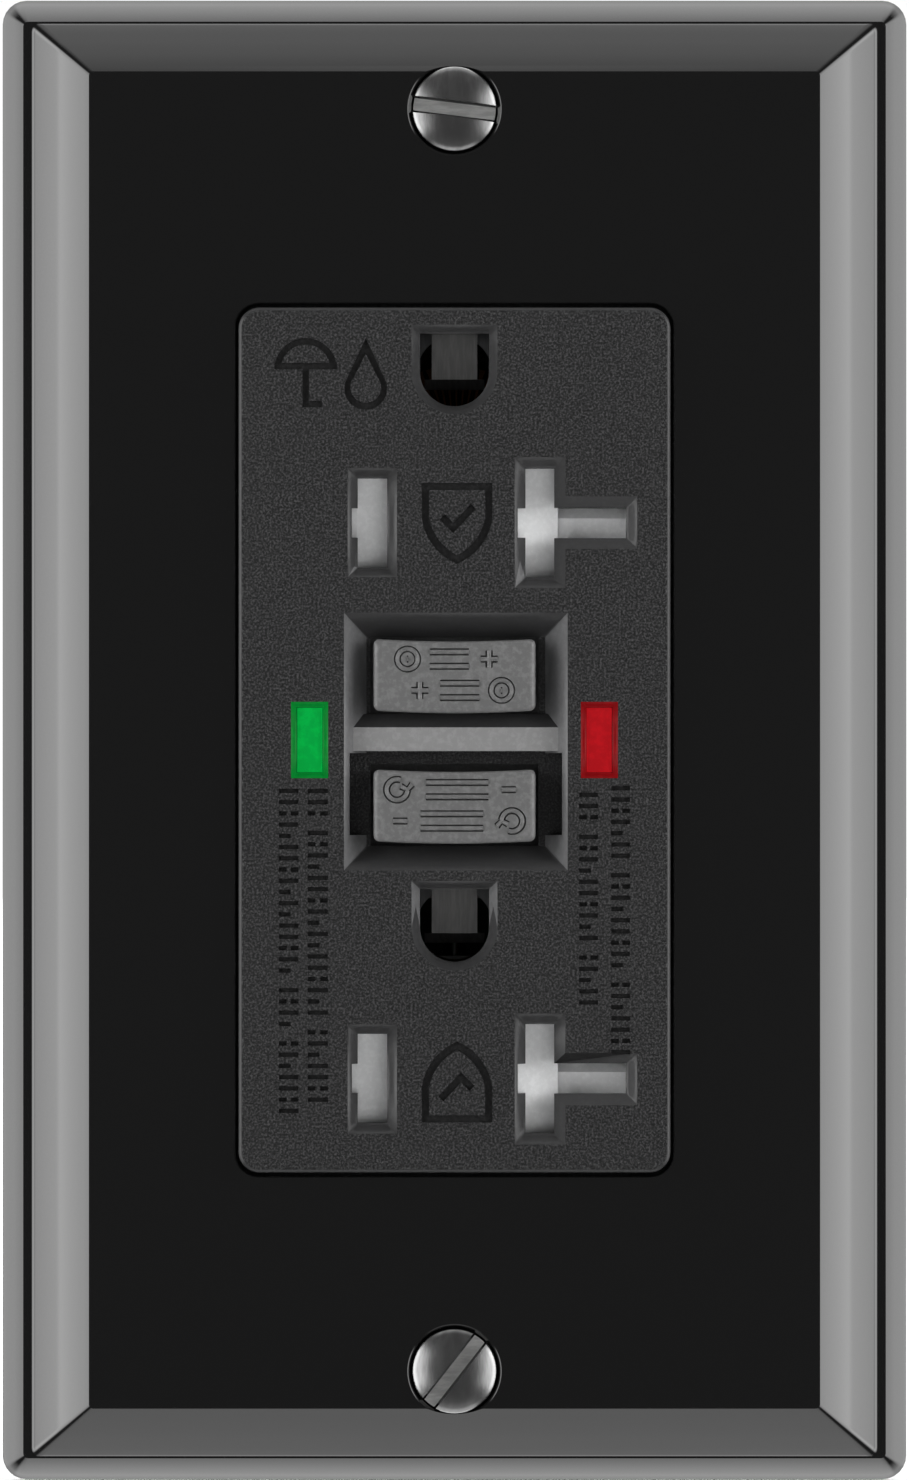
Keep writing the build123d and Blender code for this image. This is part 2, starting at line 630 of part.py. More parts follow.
# Box screws hold the strap to the wall box. The neck under each head is thinner than the thread,
# so the washer on it keeps the screw captive.
NECK_R = 1.4
WASHER_BACK, WASHER_T = -1.25, 0.4
with BuildPart() as box_screws:
    for height in (BOX_SCREW_Z, -BOX_SCREW_Z):
        with BuildSketch(level(height)):
            with BuildLine():
                ThreePointArc((0, -3.35), (2.0, -3.15), (3.4, -2.3))
                Polyline(
                    (3.4, -2.3), (3.4, -1.7), (NECK_R, -1.7), (NECK_R, 0), (SCREW_R, 0), (SCREW_R, 25.2),
                    (1.2, 26.0), (0, 26.0), (0, -3.35),
                )
            make_face()
        revolve(axis=Axis((0, 0, height), (0, 1, 0)))
        with BuildSketch(facing(-2.4)):
            with Locations((0, height)):
                Rectangle(8.0, 1.1)
                Rectangle(1.1, 4.4)
        extrude(amount=2.0, mode=Mode.SUBTRACT)
box_screws.part.label = "box_screws"
export_step(box_screws.part, "parts/box_screws.step")

with BuildPart() as screw_retainers:
    with BuildSketch(facing(WASHER_BACK)):
        with Locations((0, BOX_SCREW_Z), (0, -BOX_SCREW_Z)):
            RectangleRounded(9.6, 6.8, 1.2)
            Circle(NECK_R + 0.1, mode=Mode.SUBTRACT)
    extrude(amount=WASHER_T)
screw_retainers.part.label = "screw_retainers"
export_step(screw_retainers.part, "parts/screw_retainers.step")

# Middle frame: a tray that holds the blade contacts, with a chimney for the reset spring.
BUS_NECK_Z = TERMINALS["load"]
with BuildPart() as middle_frame:
    for inset, back, mode in ((0.0, FRAME_BACK, Mode.ADD), (FRAME_WALL, FRAME_FLOOR, Mode.SUBTRACT)):
        with BuildSketch(facing(back)):
            Rectangle(FRAME_W - 2 * inset, FRAME_H - 2 * inset)
            with GridLocations(FRAME_W - 6.6, FRAME_H - 5.6, 2, 2):
                Rectangle(6.8 + 2 * inset, 5.8 + 2 * inset, mode=Mode.SUBTRACT)
        extrude(amount=back - 0.1, mode=mode)
    with BuildSketch(facing(FRAME_FLOOR)):
        with Locations((0, RESET_Z)):
            Circle(3.7)
            Circle(2.8, mode=Mode.SUBTRACT)
    extrude(amount=6.0)
    with BuildSketch(facing(FRAME_FLOOR)):
        with Locations((-6.9, TEST_Z)):
            Rectangle(2.2, 3.0)
    extrude(amount=FRAME_FLOOR - LEAF_Y - 0.3)
    with BuildSketch(facing(FRAME_BACK)):
        with Locations((0, RESET_Z)):
            Circle(2.0)
        for blades in RECEPTACLES.values():
            with Locations((0, blades + GROUND_UP)):
                Circle(2.9)
        with Locations((ARM_X, CONTACT_Z), (-ARM_X, CONTACT_Z)):
            Circle(2.1)
        with Locations((LED_X, 0), (-LED_X, 0)):
            Rectangle(LED_W + 0.2, LED_H + 0.2)
        with Locations((TERMINAL_X + 0.5, BUS_NECK_Z), (-TERMINAL_X - 0.5, BUS_NECK_Z)):
            Rectangle(TERMINAL_T + 0.3, 4.4)
        with Locations((4.2, TEST_Z)):
            Circle(0.6)
    extrude(amount=FRAME_BACK - FRAME_FLOOR, mode=Mode.SUBTRACT)
middle_frame.part.label = "middle_frame"
export_step(middle_frame.part, "parts/middle_frame.step")

# Buses: one strip each side with spring clips for the blades and a load terminal plate at its neck.
BUS_BACK, BUS_T = 11.3, 0.8
RAIL_X, RAIL_W = 13.9, 1.4
for pole, sign, blade_x in (("hot", -1, HOT_X), ("neutral", 1, NEUTRAL_X)):
    rail_edge = sign * (RAIL_X + RAIL_W / 2)
    with BuildPart() as bus:
        with BuildSketch(facing(BUS_BACK)):
            with Locations((sign * RAIL_X, -3.0)):
                Rectangle(RAIL_W, 44.4)
            for blades in RECEPTACLES.values():
                with Locations(((sign * 11.4 + blade_x - sign * 1.6) / 2, blades)):
                    Rectangle(abs(sign * 11.4 - blade_x + sign * 1.6), 5.6)
                with Locations((sign * 12.6, blades + 1.75)):
                    Rectangle(4.0, 2.0)
            with Locations(((rail_edge + sign * 5.7) / 2, CONTACT_Z)):
                Rectangle(abs(rail_edge - sign * 5.7), 3.4)
            with Locations((sign * 15.4, BUS_NECK_Z)):
                Rectangle(3.2, 4.0)
        extrude(amount=BUS_T)
        for blades in RECEPTACLES.values():
            with BuildSketch(facing(BUS_BACK - BUS_T)):
                with Locations((blade_x - 1.1, blades), (blade_x + 1.1, blades)):
                    Rectangle(0.5, 5.6)
                if pole == "neutral":
                    with Locations((10.0, blades + 1.1), (10.0, blades - 1.1)):
                        Rectangle(3.2, 0.5)
            extrude(amount=9.8)
        with BuildSketch(facing(TERMINAL_Y + 5.0)):
            with Locations((sign * (TERMINAL_X + TERMINAL_T / 2), BUS_NECK_Z)):
                Rectangle(TERMINAL_T, 8.6)
        extrude(amount=10.1)
        with BuildSketch(facing(TERMINAL_Y - 5.1)):
            with Locations((sign * (TERMINAL_X + TERMINAL_T / 2), BUS_NECK_Z)):
                Rectangle(TERMINAL_T, 4.0)
        extrude(amount=TERMINAL_Y - 5.1 - BUS_BACK + BUS_T)
        with BuildSketch(side_on(sign * (TERMINAL_X - 1))):
            with Locations((TERMINAL_Y, BUS_NECK_Z)):
                Circle(1.98)
        extrude(amount=sign * 3.0, mode=Mode.SUBTRACT)
    bus.part.label = f"{pole}_bus"
    export_step(bus.part, f"parts/{pole}_bus.step")

# Fixed contacts: silver rivets behind each bus.
with BuildPart() as fixed_contacts:
    with BuildSketch(facing(ARM_FRONT - 0.9)):
        with Locations((ARM_X, CONTACT_Z), (-ARM_X, CONTACT_Z)):
            Circle(1.6)
    extrude(amount=ARM_FRONT - 0.9 - BUS_BACK)
fixed_contacts.part.label = "fixed_contacts"
export_step(fixed_contacts.part, "parts/fixed_contacts.step")

# Contact arms: strips that swing at the upper end, each with a silver rivet at the lower.
for pole, x in (("hot", -ARM_X), ("neutral", ARM_X)):
    with BuildPart() as contact_arm:
        with BuildSketch(facing(ARM_FRONT + ARM_T)):
            with Locations((x, (ARM_PIVOT_Z + ARM_END_Z) / 2)):
                Rectangle(ARM_W, ARM_PIVOT_Z - ARM_END_Z)
        extrude(amount=ARM_T)
        with BuildSketch(facing(ARM_FRONT)):
            with Locations((x, CONTACT_Z)):
                Circle(1.5)
        extrude(amount=0.85)
    contact_arm.part.label = f"{pole}_contact_arm"
    export_step(contact_arm.part, f"parts/{pole}_contact_arm.step")

# Latch block: lifts both arms on its wings, bored for the reset pin and slotted for the latch plate.
with BuildPart() as latch_block:
    with BuildSketch(facing(18.9)):
        with Locations((0, RESET_Z)):
            Rectangle(10.0, 8.0)
    extrude(amount=5.6)
    with BuildSketch(facing(LATCH_FRONT - 0.1)):
        with Locations((0, RESET_Z)):
            Rectangle(18.0, 3.0)
    extrude(amount=LATCH_FRONT - 0.1 - ARM_FRONT - ARM_T - 0.05)
    with BuildSketch(facing(LATCH_BACK + 0.05)):
        with Locations((0, RESET_Z)):
            Rectangle(7.6, 8.0)
    extrude(amount=LATCH_BACK - LATCH_FRONT + 0.1, mode=Mode.SUBTRACT)
    with BuildSketch(facing(18.9)):
        with Locations((0, RESET_Z)):
            Circle(2.1)
    extrude(amount=5.6, mode=Mode.SUBTRACT)
latch_block.part.label = "latch_block"
export_step(latch_block.part, "parts/latch_block.step")

# Latch plate: the top edge of its hole holds the pin's shoulder until the plunger pushes it up.
with BuildPart() as latch_plate:
    with BuildSketch(facing(LATCH_BACK)):
        with Locations((0, -6.0)):
            Rectangle(7.0, 13.0)
        with Locations((0, -6.4)):
            Rectangle(4.0, 4.9, mode=Mode.SUBTRACT)
    extrude(amount=LATCH_BACK - LATCH_FRONT)
    with BuildSketch(level(-12.5)):
        with Locations((0, (14.6 + LATCH_FRONT) / 2)):
            Rectangle(7.0, LATCH_FRONT - 14.6)
    extrude(amount=0.6)
latch_plate.part.label = "latch_plate"
export_step(latch_plate.part, "parts/latch_plate.step")

with BuildPart() as latch_plate_spring:
    with BuildSketch(level(-11.9)):
        with Locations((0, 15.45)):
            Circle(0.95)
            Circle(0.6, mode=Mode.SUBTRACT)
    extrude(amount=2.9)
latch_plate_spring.part.label = "latch_plate_spring"
export_step(latch_plate_spring.part, "parts/latch_plate_spring.step")

# Solenoid: bobbin, winding, steel frame, plunger and its return spring.
with BuildPart() as solenoid_bobbin:
    with BuildSketch(level(SOLENOID_END)):
        with Locations((0, SOLENOID_Y)):
            Circle(2.6)
    extrude(amount=SOLENOID_TOP - SOLENOID_END)
    for bottom in (SOLENOID_END, SOLENOID_TOP - 0.8):
        with BuildSketch(level(bottom)):
            with Locations((0, SOLENOID_Y)):
                Circle(4.3)
        extrude(amount=0.8)
    with BuildSketch(level(SOLENOID_END)):
        with Locations((0, SOLENOID_Y)):
            Circle(2.05)
    extrude(amount=SOLENOID_TOP - SOLENOID_END, mode=Mode.SUBTRACT)
solenoid_bobbin.part.label = "solenoid_bobbin"
export_step(solenoid_bobbin.part, "parts/solenoid_bobbin.step")

with BuildPart() as solenoid_coil:
    with BuildSketch(level(SOLENOID_END + 0.8)):
        with Locations((0, SOLENOID_Y)):
            Circle(4.0)
            Circle(2.6, mode=Mode.SUBTRACT)
    extrude(amount=SOLENOID_TOP - SOLENOID_END - 1.6)
solenoid_coil.part.label = "solenoid_coil"
export_step(solenoid_coil.part, "parts/solenoid_coil.step")

with BuildPart() as solenoid_frame:
    with BuildSketch(side_on(-4.3)):
        with BuildLine():
            Polyline(
                (12.7, -17.0), (22.3, -17.0), (22.3, -30.6), (12.7, -30.6), (12.7, -29.5), (21.4, -29.5),
                (21.4, -18.05), (12.7, -18.05), (12.7, -17.0),
            )
        make_face()
    extrude(amount=8.6)
    with BuildSketch(level(-18.5)):
        with Locations((0, SOLENOID_Y)):
            Circle(1.2)
    extrude(amount=2.0, mode=Mode.SUBTRACT)
solenoid_frame.part.label = "solenoid_frame"
export_step(solenoid_frame.part, "parts/solenoid_frame.step")

with BuildPart() as solenoid_plunger:
    with BuildSketch(level(-29.3)):
        with Locations((0, SOLENOID_Y)):
            Circle(1.9)
    extrude(amount=6.3)
    with BuildSketch(level(-23.0)):
        with Locations((0, SOLENOID_Y)):
            Circle(0.9)
    extrude(amount=10.4)
solenoid_plunger.part.label = "solenoid_plunger"
export_step(solenoid_plunger.part, "parts/solenoid_plunger.step")

with BuildPart() as plunger_spring:
    with BuildSketch(level(-23.0)):
        with Locations((0, SOLENOID_Y)):
            Circle(1.7)
            Circle(1.35, mode=Mode.SUBTRACT)
    extrude(amount=4.9)
plunger_spring.part.label = "plunger_spring"
export_step(plunger_spring.part, "parts/plunger_spring.step")

# Circuit board, notched round the housing's screw posts.
with BuildPart() as circuit_board:
    with BuildSketch(facing(BOARD_Y + BOARD_T)):
        Rectangle(29.4, 62.0)
        with GridLocations(2 * BOSS_X, 2 * BOSS_Z, 2, 2):
            Rectangle(6.0, 6.0, mode=Mode.SUBTRACT)
    extrude(amount=BOARD_T)
circuit_board.part.label = "circuit_board"
export_step(circuit_board.part, "parts/circuit_board.step")

# Current transformers: two wound rings in a cup, one behind the other.
for name, front in (("sense_toroid", 16.0), ("neutral_toroid", 19.2)):
    with BuildPart() as toroid:
        with BuildSketch(facing(front + 2.9)):
            with Locations((0, CORE_Z)):
                Circle(CORE_R)
                Circle(CORE_HOLE, mode=Mode.SUBTRACT)
        extrude(amount=2.9)
        fillet(toroid.edges().filter_by(GeomType.CIRCLE), 0.8)
    toroid.part.label = name
    export_step(toroid.part, f"parts/{name}.step")

with BuildPart() as transformer_case:
    with BuildSketch(facing(22.9)):
        with Locations((0, CORE_Z)):
            Circle(9.0)
    extrude(amount=7.5)
    with BuildSketch(facing(22.3)):
        with Locations((0, CORE_Z)):
            Circle(8.3)
            Circle(3.3, mode=Mode.SUBTRACT)
    extrude(amount=6.9, mode=Mode.SUBTRACT)
    with BuildSketch(facing(22.9)):
        with Locations((0, CORE_Z)):
            Circle(2.8)
    extrude(amount=7.5, mode=Mode.SUBTRACT)
transformer_case.part.label = "transformer_case"
export_step(transformer_case.part, "parts/transformer_case.step")

# Line conductors: from the board through both rings to the pad that each contact arm bends from.
CONDUCTOR_R = 0.85
with BuildPart() as line_conductors:
    for sign in (-1, 1):
        with BuildLine():
            FilletPolyline(
                (sign * 1.3, BOARD_Y, CORE_Z),
                (sign * 1.3, 13.9, CORE_Z),
                (sign * ARM_X, 13.9, 13.0),
                (sign * ARM_X, 13.9, 10.4),
                radius=1.2,
            )
        with BuildSketch(Plane(origin=(sign * 1.3, BOARD_Y, CORE_Z), z_dir=(0, -1, 0))):
            Circle(CONDUCTOR_R)
        sweep()
        with BuildSketch(level(ARM_PIVOT_Z + 0.25)):
            with Locations((sign * ARM_X, 13.95)):
                Rectangle(3.2, 2.1)
        extrude(amount=2.4)
line_conductors.part.label = "line_conductors"
export_step(line_conductors.part, "parts/line_conductors.step")

# What stands on the back of the board.
BOARD_BACK = BOARD_Y + BOARD_T
with BuildPart() as board_chips:
    with BuildSketch(facing(BOARD_BACK + 1.6)):
        with Locations((0, 2.0)):
            Rectangle(5.0, 8.6)
    extrude(amount=1.6)
    with BuildSketch(facing(BOARD_BACK + 4.4)):
        with Locations((7.5, -9.0)):
            Rectangle(4.6, 3.6)
    extrude(amount=4.4)
board_chips.part.label = "board_chips"
export_step(board_chips.part, "parts/board_chips.step")

with BuildPart() as board_capacitors:
    for x, z, r, tall in ((8.0, 12.0, 2.5, 4.6), (-8.5, 10.0, 3.6, 2.2), (-9.0, -20.0, 3.9, 2.6)):
        with BuildSketch(facing(BOARD_BACK + tall)):
            with Locations((x, z)):
                Circle(r)
        extrude(amount=tall)
board_capacitors.part.label = "board_capacitors"
export_step(board_capacitors.part, "parts/board_capacitors.step")

with BuildPart() as board_resistors:
    for row in range(5):
        with BuildSketch(side_on(-11.5)):
            with Locations((BOARD_BACK + 1.0, -2.0 - 2.6 * row)):
                Circle(0.95)
        extrude(amount=6.0)
    with BuildSketch(side_on(2.0)):
        with Locations((BOARD_BACK + 1.7, -18.0)):
            Circle(1.6)
    extrude(amount=9.0)
board_resistors.part.label = "board_resistors"
export_step(board_resistors.part, "parts/board_resistors.step")

# Rear housing: a deep shell with screw posts and four wire bays, each with two back-wire holes.
with BuildPart() as rear_housing:
    with BuildSketch(facing(BODY_BACK)):
        RectangleRounded(BODY_W, BODY_H, 3.0)
    extrude(amount=BODY_BACK - 0.1)
    fillet(rear_housing.faces().sort_by(Axis.Y)[-1].edges(), 1.5)
    with BuildSketch(facing(INNER_BACK)):
        RectangleRounded(BODY_W - 2 * BODY_WALL, BODY_H - 2 * BODY_WALL, 1.6)
    extrude(amount=INNER_BACK - 0.1, mode=Mode.SUBTRACT)
    with BuildSketch(facing(INNER_BACK)):
        with GridLocations(2 * BOSS_X, 2 * BOSS_Z, 2, 2):
            Circle(BOSS_R)
    extrude(amount=INNER_BACK - 0.1)
    for sign in (-1, 1):
        for height in TERMINALS.values():
            with BuildSketch(facing(INNER_BACK)):
                with Locations((sign * 17.55, height)):
                    Rectangle(5.2, BAY_H + 2.0)
            extrude(amount=INNER_BACK - FRAME_BACK - 0.1)
            with BuildSketch(facing(BAY_BACK)):
                with Locations((sign * 18.95, height)):
                    Rectangle(6.0, BAY_H)
            extrude(amount=BAY_BACK - BAY_FRONT, mode=Mode.SUBTRACT)
            with BuildSketch(facing(BODY_BACK)):
                with Locations((sign * 18.3, height + 2.6), (sign * 18.3, height - 2.6)):
                    RectangleRounded(2.6, 2.8, 0.6)
            extrude(amount=BODY_BACK - BAY_BACK, mode=Mode.SUBTRACT)
        # slot for the bus's neck, and slot for the line terminal's tail
        with BuildSketch(facing(BAY_FRONT)):
            with Locations((sign * (TERMINAL_X + 0.5), BUS_NECK_Z)):
                Rectangle(TERMINAL_T + 0.3, 4.4)
        extrude(amount=1.0, mode=Mode.SUBTRACT)
        with BuildSketch(facing(22.0)):
            with Locations((sign * 15.5, TERMINALS["line"])):
                Rectangle(1.4, 3.4)
        extrude(amount=1.2, mode=Mode.SUBTRACT)
    with BuildSketch(facing(BODY_BACK)):
        with GridLocations(2 * BOSS_X, 2 * BOSS_Z, 2, 2):
            Circle(1.35)
    extrude(amount=BODY_BACK, mode=Mode.SUBTRACT)
    with BuildSketch(facing(BODY_BACK)):
        with GridLocations(2 * BOSS_X, 2 * BOSS_Z, 2, 2):
            Circle(2.5)
    extrude(amount=1.2, mode=Mode.SUBTRACT)
    with BuildSketch(facing(BODY_BACK)):
        RectangleRounded(22.0, 36.0, 1.0)
    extrude(amount=0.25, mode=Mode.SUBTRACT)
rear_housing.part.label = "rear_housing"
export_step(rear_housing.part, "parts/rear_housing.step")

# Housing screws: from the back, through the strap into the front cover.
with BuildPart() as housing_screws:
    with BuildSketch(facing(BODY_BACK - 0.2)):
        with GridLocations(2 * BOSS_X, 2 * BOSS_Z, 2, 2):
            Circle(2.3)
    extrude(amount=1.0)
    with BuildSketch(facing(BODY_BACK - 1.2)):
        with GridLocations(2 * BOSS_X, 2 * BOSS_Z, 2, 2):
            Circle(1.25)
    extrude(amount=BODY_BACK - 1.2 + 2.9)
    with BuildSketch(facing(BODY_BACK)):
        with GridLocations(2 * BOSS_X, 2 * BOSS_Z, 2, 2):
            Rectangle(3.0, 0.7)
            Rectangle(0.7, 3.0)
    extrude(amount=0.8, mode=Mode.SUBTRACT)
housing_screws.part.label = "housing_screws"
export_step(housing_screws.part, "parts/housing_screws.step")

# Line terminal plates, with a tail to the board.
with BuildPart() as line_terminal_plates:
    for sign in (-1, 1):
        with BuildSketch(facing(TERMINAL_Y + 5.0)):
            with Locations((sign * (TERMINAL_X + TERMINAL_T / 2), TERMINALS["line"])):
                Rectangle(TERMINAL_T, 8.6)
        extrude(amount=10.1)
        with BuildSketch(side_on(sign * (TERMINAL_X - 1))):
            with Locations((TERMINAL_Y, TERMINALS["line"])):
                Circle(1.98)
        extrude(amount=sign * 3.0, mode=Mode.SUBTRACT)
        with BuildSketch(facing(21.8)):
            with Locations((sign * 13.3, TERMINALS["line"])):
                Rectangle(5.6, 3.0)
        extrude(amount=0.8)
        with BuildSketch(facing(BOARD_Y)):
            with Locations((sign * 11.0, TERMINALS["line"])):
                Rectangle(1.0, 3.0)
        extrude(amount=1.2)
line_terminal_plates.part.label = "line_terminal_plates"
export_step(line_terminal_plates.part, "parts/line_terminal_plates.step")

# Terminal screws and their clamp plates: brass on the hot side, nickelled on the neutral.
for end, height in TERMINALS.items():
    for pole, sign in (("hot", -1), ("neutral", 1)):
        with BuildPart() as terminal_screw:
            with BuildSketch(side_on(sign * HEAD_X)):
                with Locations((TERMINAL_Y, height)):
                    Circle(3.6)
            extrude(amount=sign * 2.2)
            fillet(terminal_screw.edges().group_by(Axis.X)[-1 if sign > 0 else 0], 0.5)
            with BuildSketch(side_on(sign * HEAD_X)):
                with Locations((TERMINAL_Y, height)):
                    Circle(1.9)
            extrude(amount=TERMINAL_X - HEAD_X if sign > 0 else HEAD_X - TERMINAL_X)
            with BuildSketch(side_on(sign * (HEAD_X + 1.2))):
                with Locations((TERMINAL_Y, height)):
                    Rectangle(8.0, 1.1)
                    Rectangle(1.1, 4.6)
            extrude(amount=sign * 2.0, mode=Mode.SUBTRACT)
        terminal_screw.part.label = f"{end}_{pole}_screw"
        export_step(terminal_screw.part, f"parts/{end}_{pole}_screw.step")

        with BuildPart() as clamp_plate:
            with BuildSketch(side_on(sign * CLAMP_X)):
                with Locations((TERMINAL_Y, height)):
                    RectangleRounded(9.6, 8.6, 0.8)
                    Circle(1.95, mode=Mode.SUBTRACT)
            extrude(amount=sign * 1.0)
        clamp_plate.part.label = f"{end}_{pole}_clamp"
        export_step(clamp_plate.part, f"parts/{end}_{pole}_clamp.step")
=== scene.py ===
"""Ground-fault receptacle with its wall plate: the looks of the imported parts.

Lengths are in millimetres until a mesh is made. X runs right, Z up and -Y towards the room.
"""

import json
from math import cos, floor, pi, radians, sin, tan, tau

import bmesh
import bpy
from bpy.props import FloatProperty, FloatVectorProperty, PointerProperty
from mathutils import Matrix, Vector

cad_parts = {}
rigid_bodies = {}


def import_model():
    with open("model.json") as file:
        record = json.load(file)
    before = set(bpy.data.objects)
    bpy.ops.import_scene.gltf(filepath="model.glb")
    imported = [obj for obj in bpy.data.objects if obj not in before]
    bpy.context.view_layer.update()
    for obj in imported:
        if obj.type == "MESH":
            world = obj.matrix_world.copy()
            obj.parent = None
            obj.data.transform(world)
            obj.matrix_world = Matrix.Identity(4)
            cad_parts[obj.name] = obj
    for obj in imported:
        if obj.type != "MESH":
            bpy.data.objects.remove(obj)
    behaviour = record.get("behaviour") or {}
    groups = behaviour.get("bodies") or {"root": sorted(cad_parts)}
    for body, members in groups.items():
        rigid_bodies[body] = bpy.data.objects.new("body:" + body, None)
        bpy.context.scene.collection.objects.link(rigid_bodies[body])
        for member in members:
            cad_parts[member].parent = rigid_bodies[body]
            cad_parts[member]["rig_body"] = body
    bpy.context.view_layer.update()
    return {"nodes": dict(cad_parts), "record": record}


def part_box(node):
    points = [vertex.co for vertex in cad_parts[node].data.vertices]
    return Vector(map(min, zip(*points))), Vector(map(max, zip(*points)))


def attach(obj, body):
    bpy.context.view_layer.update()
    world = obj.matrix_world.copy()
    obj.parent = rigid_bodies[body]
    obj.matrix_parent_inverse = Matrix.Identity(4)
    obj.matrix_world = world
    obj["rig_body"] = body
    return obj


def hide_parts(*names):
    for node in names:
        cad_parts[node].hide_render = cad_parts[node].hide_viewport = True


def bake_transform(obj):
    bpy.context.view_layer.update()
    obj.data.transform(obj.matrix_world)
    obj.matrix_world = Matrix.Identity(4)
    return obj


bl_info = {
    "name": "Ground-fault receptacle",
    "version": (1, 0, 0),
    "blender": (4, 5, 0),
    "location": "3D View > Sidebar > Receptacle",
    "description": "Finishes and fine pieces for a receptacle with test and reset buttons",
    "category": "Add Mesh",
}

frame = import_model()

MM = 0.001
PLATE_SCREW_Z = 48.42
BOX_SCREW_Z = 41.67


# ---------------------------------------------------------------------------
# Settings

def colour_setting(name, description, default):
    """A colour that a user may change."""
    return FloatVectorProperty(
        name=name, description=description, default=default, subtype="COLOR", size=3, min=0.0, max=1.0
    )


def length_setting(name, description, millimetres):
    """A length that a user may change, kept in metres."""
    return FloatProperty(
        name=name, description=description, default=millimetres * MM, unit="LENGTH", precision=5, min=0.0
    )


class PlateSettings(bpy.types.PropertyGroup):
    """Wall plate and the two screws in it."""

    lip_width: length_setting("Lip width", "Width of the rolled outer lip at the sides", 1.68)
    ledge: length_setting("Ledge", "From the plate's edge to where the side bevel starts", 2.42)
    flat_width: length_setting("Flat width", "Width of the flat middle", 56.1)
    flat_height: length_setting("Flat height", "Height of the flat middle", 102.6)
    opening_width: length_setting("Opening width", "Width of the opening for the face", 33.55)
    opening_height: length_setting("Opening height", "Height of the opening for the face", 66.85)
    colour: colour_setting("Colour", "Gloss plastic of the plate", (0.0010, 0.0010, 0.00105))
    screw_colour: colour_setting("Screw colour", "Dark nickel of the plate screws", (0.5, 0.5, 0.5))
    thread_pitch: length_setting("Thread pitch", "Pitch of the 6-32 threads", 0.794)


class FaceSettings(bpy.types.PropertyGroup):
    """Front cover, buttons, lenses and shutters."""

    colour: colour_setting("Colour", "Grained plastic of the face", (0.0245, 0.0245, 0.025))
    button_colour: colour_setting("Button colour", "Plastic of both buttons", (0.105, 0.105, 0.105))
    shutter_colour: colour_setting(
        "Shutter colour", "Pale plastic of shutters and gates", (0.77, 0.775, 0.78)
    )
    green: colour_setting("Green lens", "Lit colour of the left lens", (0.0, 0.42, 0.05))
    red: colour_setting("Red lens", "Lit colour of the right lens", (0.5, 0.006, 0.01))
    tick_depth: length_setting("Tick depth", "Depth of the engraved ticks", 0.25)
    tick_pitch: length_setting("Tick pitch", "Spacing of the engraved ticks", 0.86)


class MetalSettings(bpy.types.PropertyGroup):
    """Metals of the working parts."""

    brass: colour_setting("Brass", "Hot side contacts and screws", (0.47, 0.32, 0.12))
    nickel: colour_setting("Nickel", "Neutral side contacts and screws", (0.42, 0.41, 0.38))
    silver: colour_setting("Silver", "Contact rivets", (0.82, 0.81, 0.78))
    copper: colour_setting("Copper", "Enamelled winding wire", (0.22, 0.085, 0.035))
    zinc: colour_setting("Zinc", "Plated steel of strap and screws", (0.50, 0.51, 0.52))
    steel: colour_setting("Spring steel", "Springs and latch plate", (0.48, 0.48, 0.49))
    green_paint: colour_setting("Ground green", "Paint of the ground screw", (0.02, 0.22, 0.07))


class StageSettings(bpy.types.PropertyGroup):
    """Floor, lamps and camera."""

    distance: length_setting("Camera distance", "From the lens to the wall", 680.0)
    view_height: length_setting("View height", "Height that the picture takes in at the wall", 114.48)
    side_light: FloatProperty(name="Side light", description="Radiance of the side boxes", default=8.5)
    room_light: FloatProperty(name="Room light", description="Most radiance of the room", default=2.8)
    back_light: FloatProperty(name="Back light", description="Radiance over the floor behind", default=2.0)
    front_light: FloatProperty(name="Front light", description="Radiance of the room in front", default=0.07)
    floor_size: FloatProperty(
        name="Floor size", description="Radius of the floor", default=2.5, unit="LENGTH"
    )


# ---------------------------------------------------------------------------
# Mesh making

AXES = {
    "X": ((0, 1, 0), (0, 0, 1), (1, 0, 0)),
    "-X": ((0, -1, 0), (0, 0, 1), (-1, 0, 0)),
    "Y": ((0, 0, 1), (1, 0, 0), (0, 1, 0)),
    "-Y": ((1, 0, 0), (0, 0, 1), (0, -1, 0)),
    "Z": ((1, 0, 0), (0, 1, 0), (0, 0, 1)),
    "-Z": ((1, 0, 0), (0, -1, 0), (0, 0, -1)),
}


def placed(origin, axis):
    """Matrix that takes a turned shape, drawn along its own Z, to an axis through origin."""
    across, up, along = (Vector(v) for v in AXES[axis])
    turn = Matrix((across, up, along)).transposed().to_4x4()
    return Matrix.Translation(Vector(origin)) @ turn


def finish_piece(name, bm, body, slot, replaced=(), crease=30.0, flats=False):
    """Makes the object in metres, smooth but for edges sharper than crease, and lets it ride.

    With flats, faces square to an axis are shaded flat, so that long thin ones show no smears.
    The body is a name that the piece rides. A tuple (fixed body, moving body, fixed end, moving end) is not
    used: the piece then keeps its place and rides no body.
    """
    bmesh.ops.scale(bm, vec=(MM, MM, MM), verts=bm.verts)
    bmesh.ops.recalc_face_normals(bm, faces=bm.faces)
    mesh = bpy.data.meshes.new(name)
    bm.to_mesh(mesh)
    bm.free()
    mesh.shade_smooth()
    mesh.set_sharp_from_angle(angle=radians(crease))
    piece = bpy.data.objects.new(name, mesh)
    bpy.context.scene.collection.objects.link(piece)
    mesh.materials.append(finish_for(slot))
    if flats:
        for polygon in mesh.polygons:
            if max(abs(part) for part in polygon.normal) > 0.99995:
                polygon.use_smooth = False
    if isinstance(body, tuple):
        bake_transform(piece)
    else:
        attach(piece, body)
    if replaced:
        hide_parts(*replaced)
    return piece


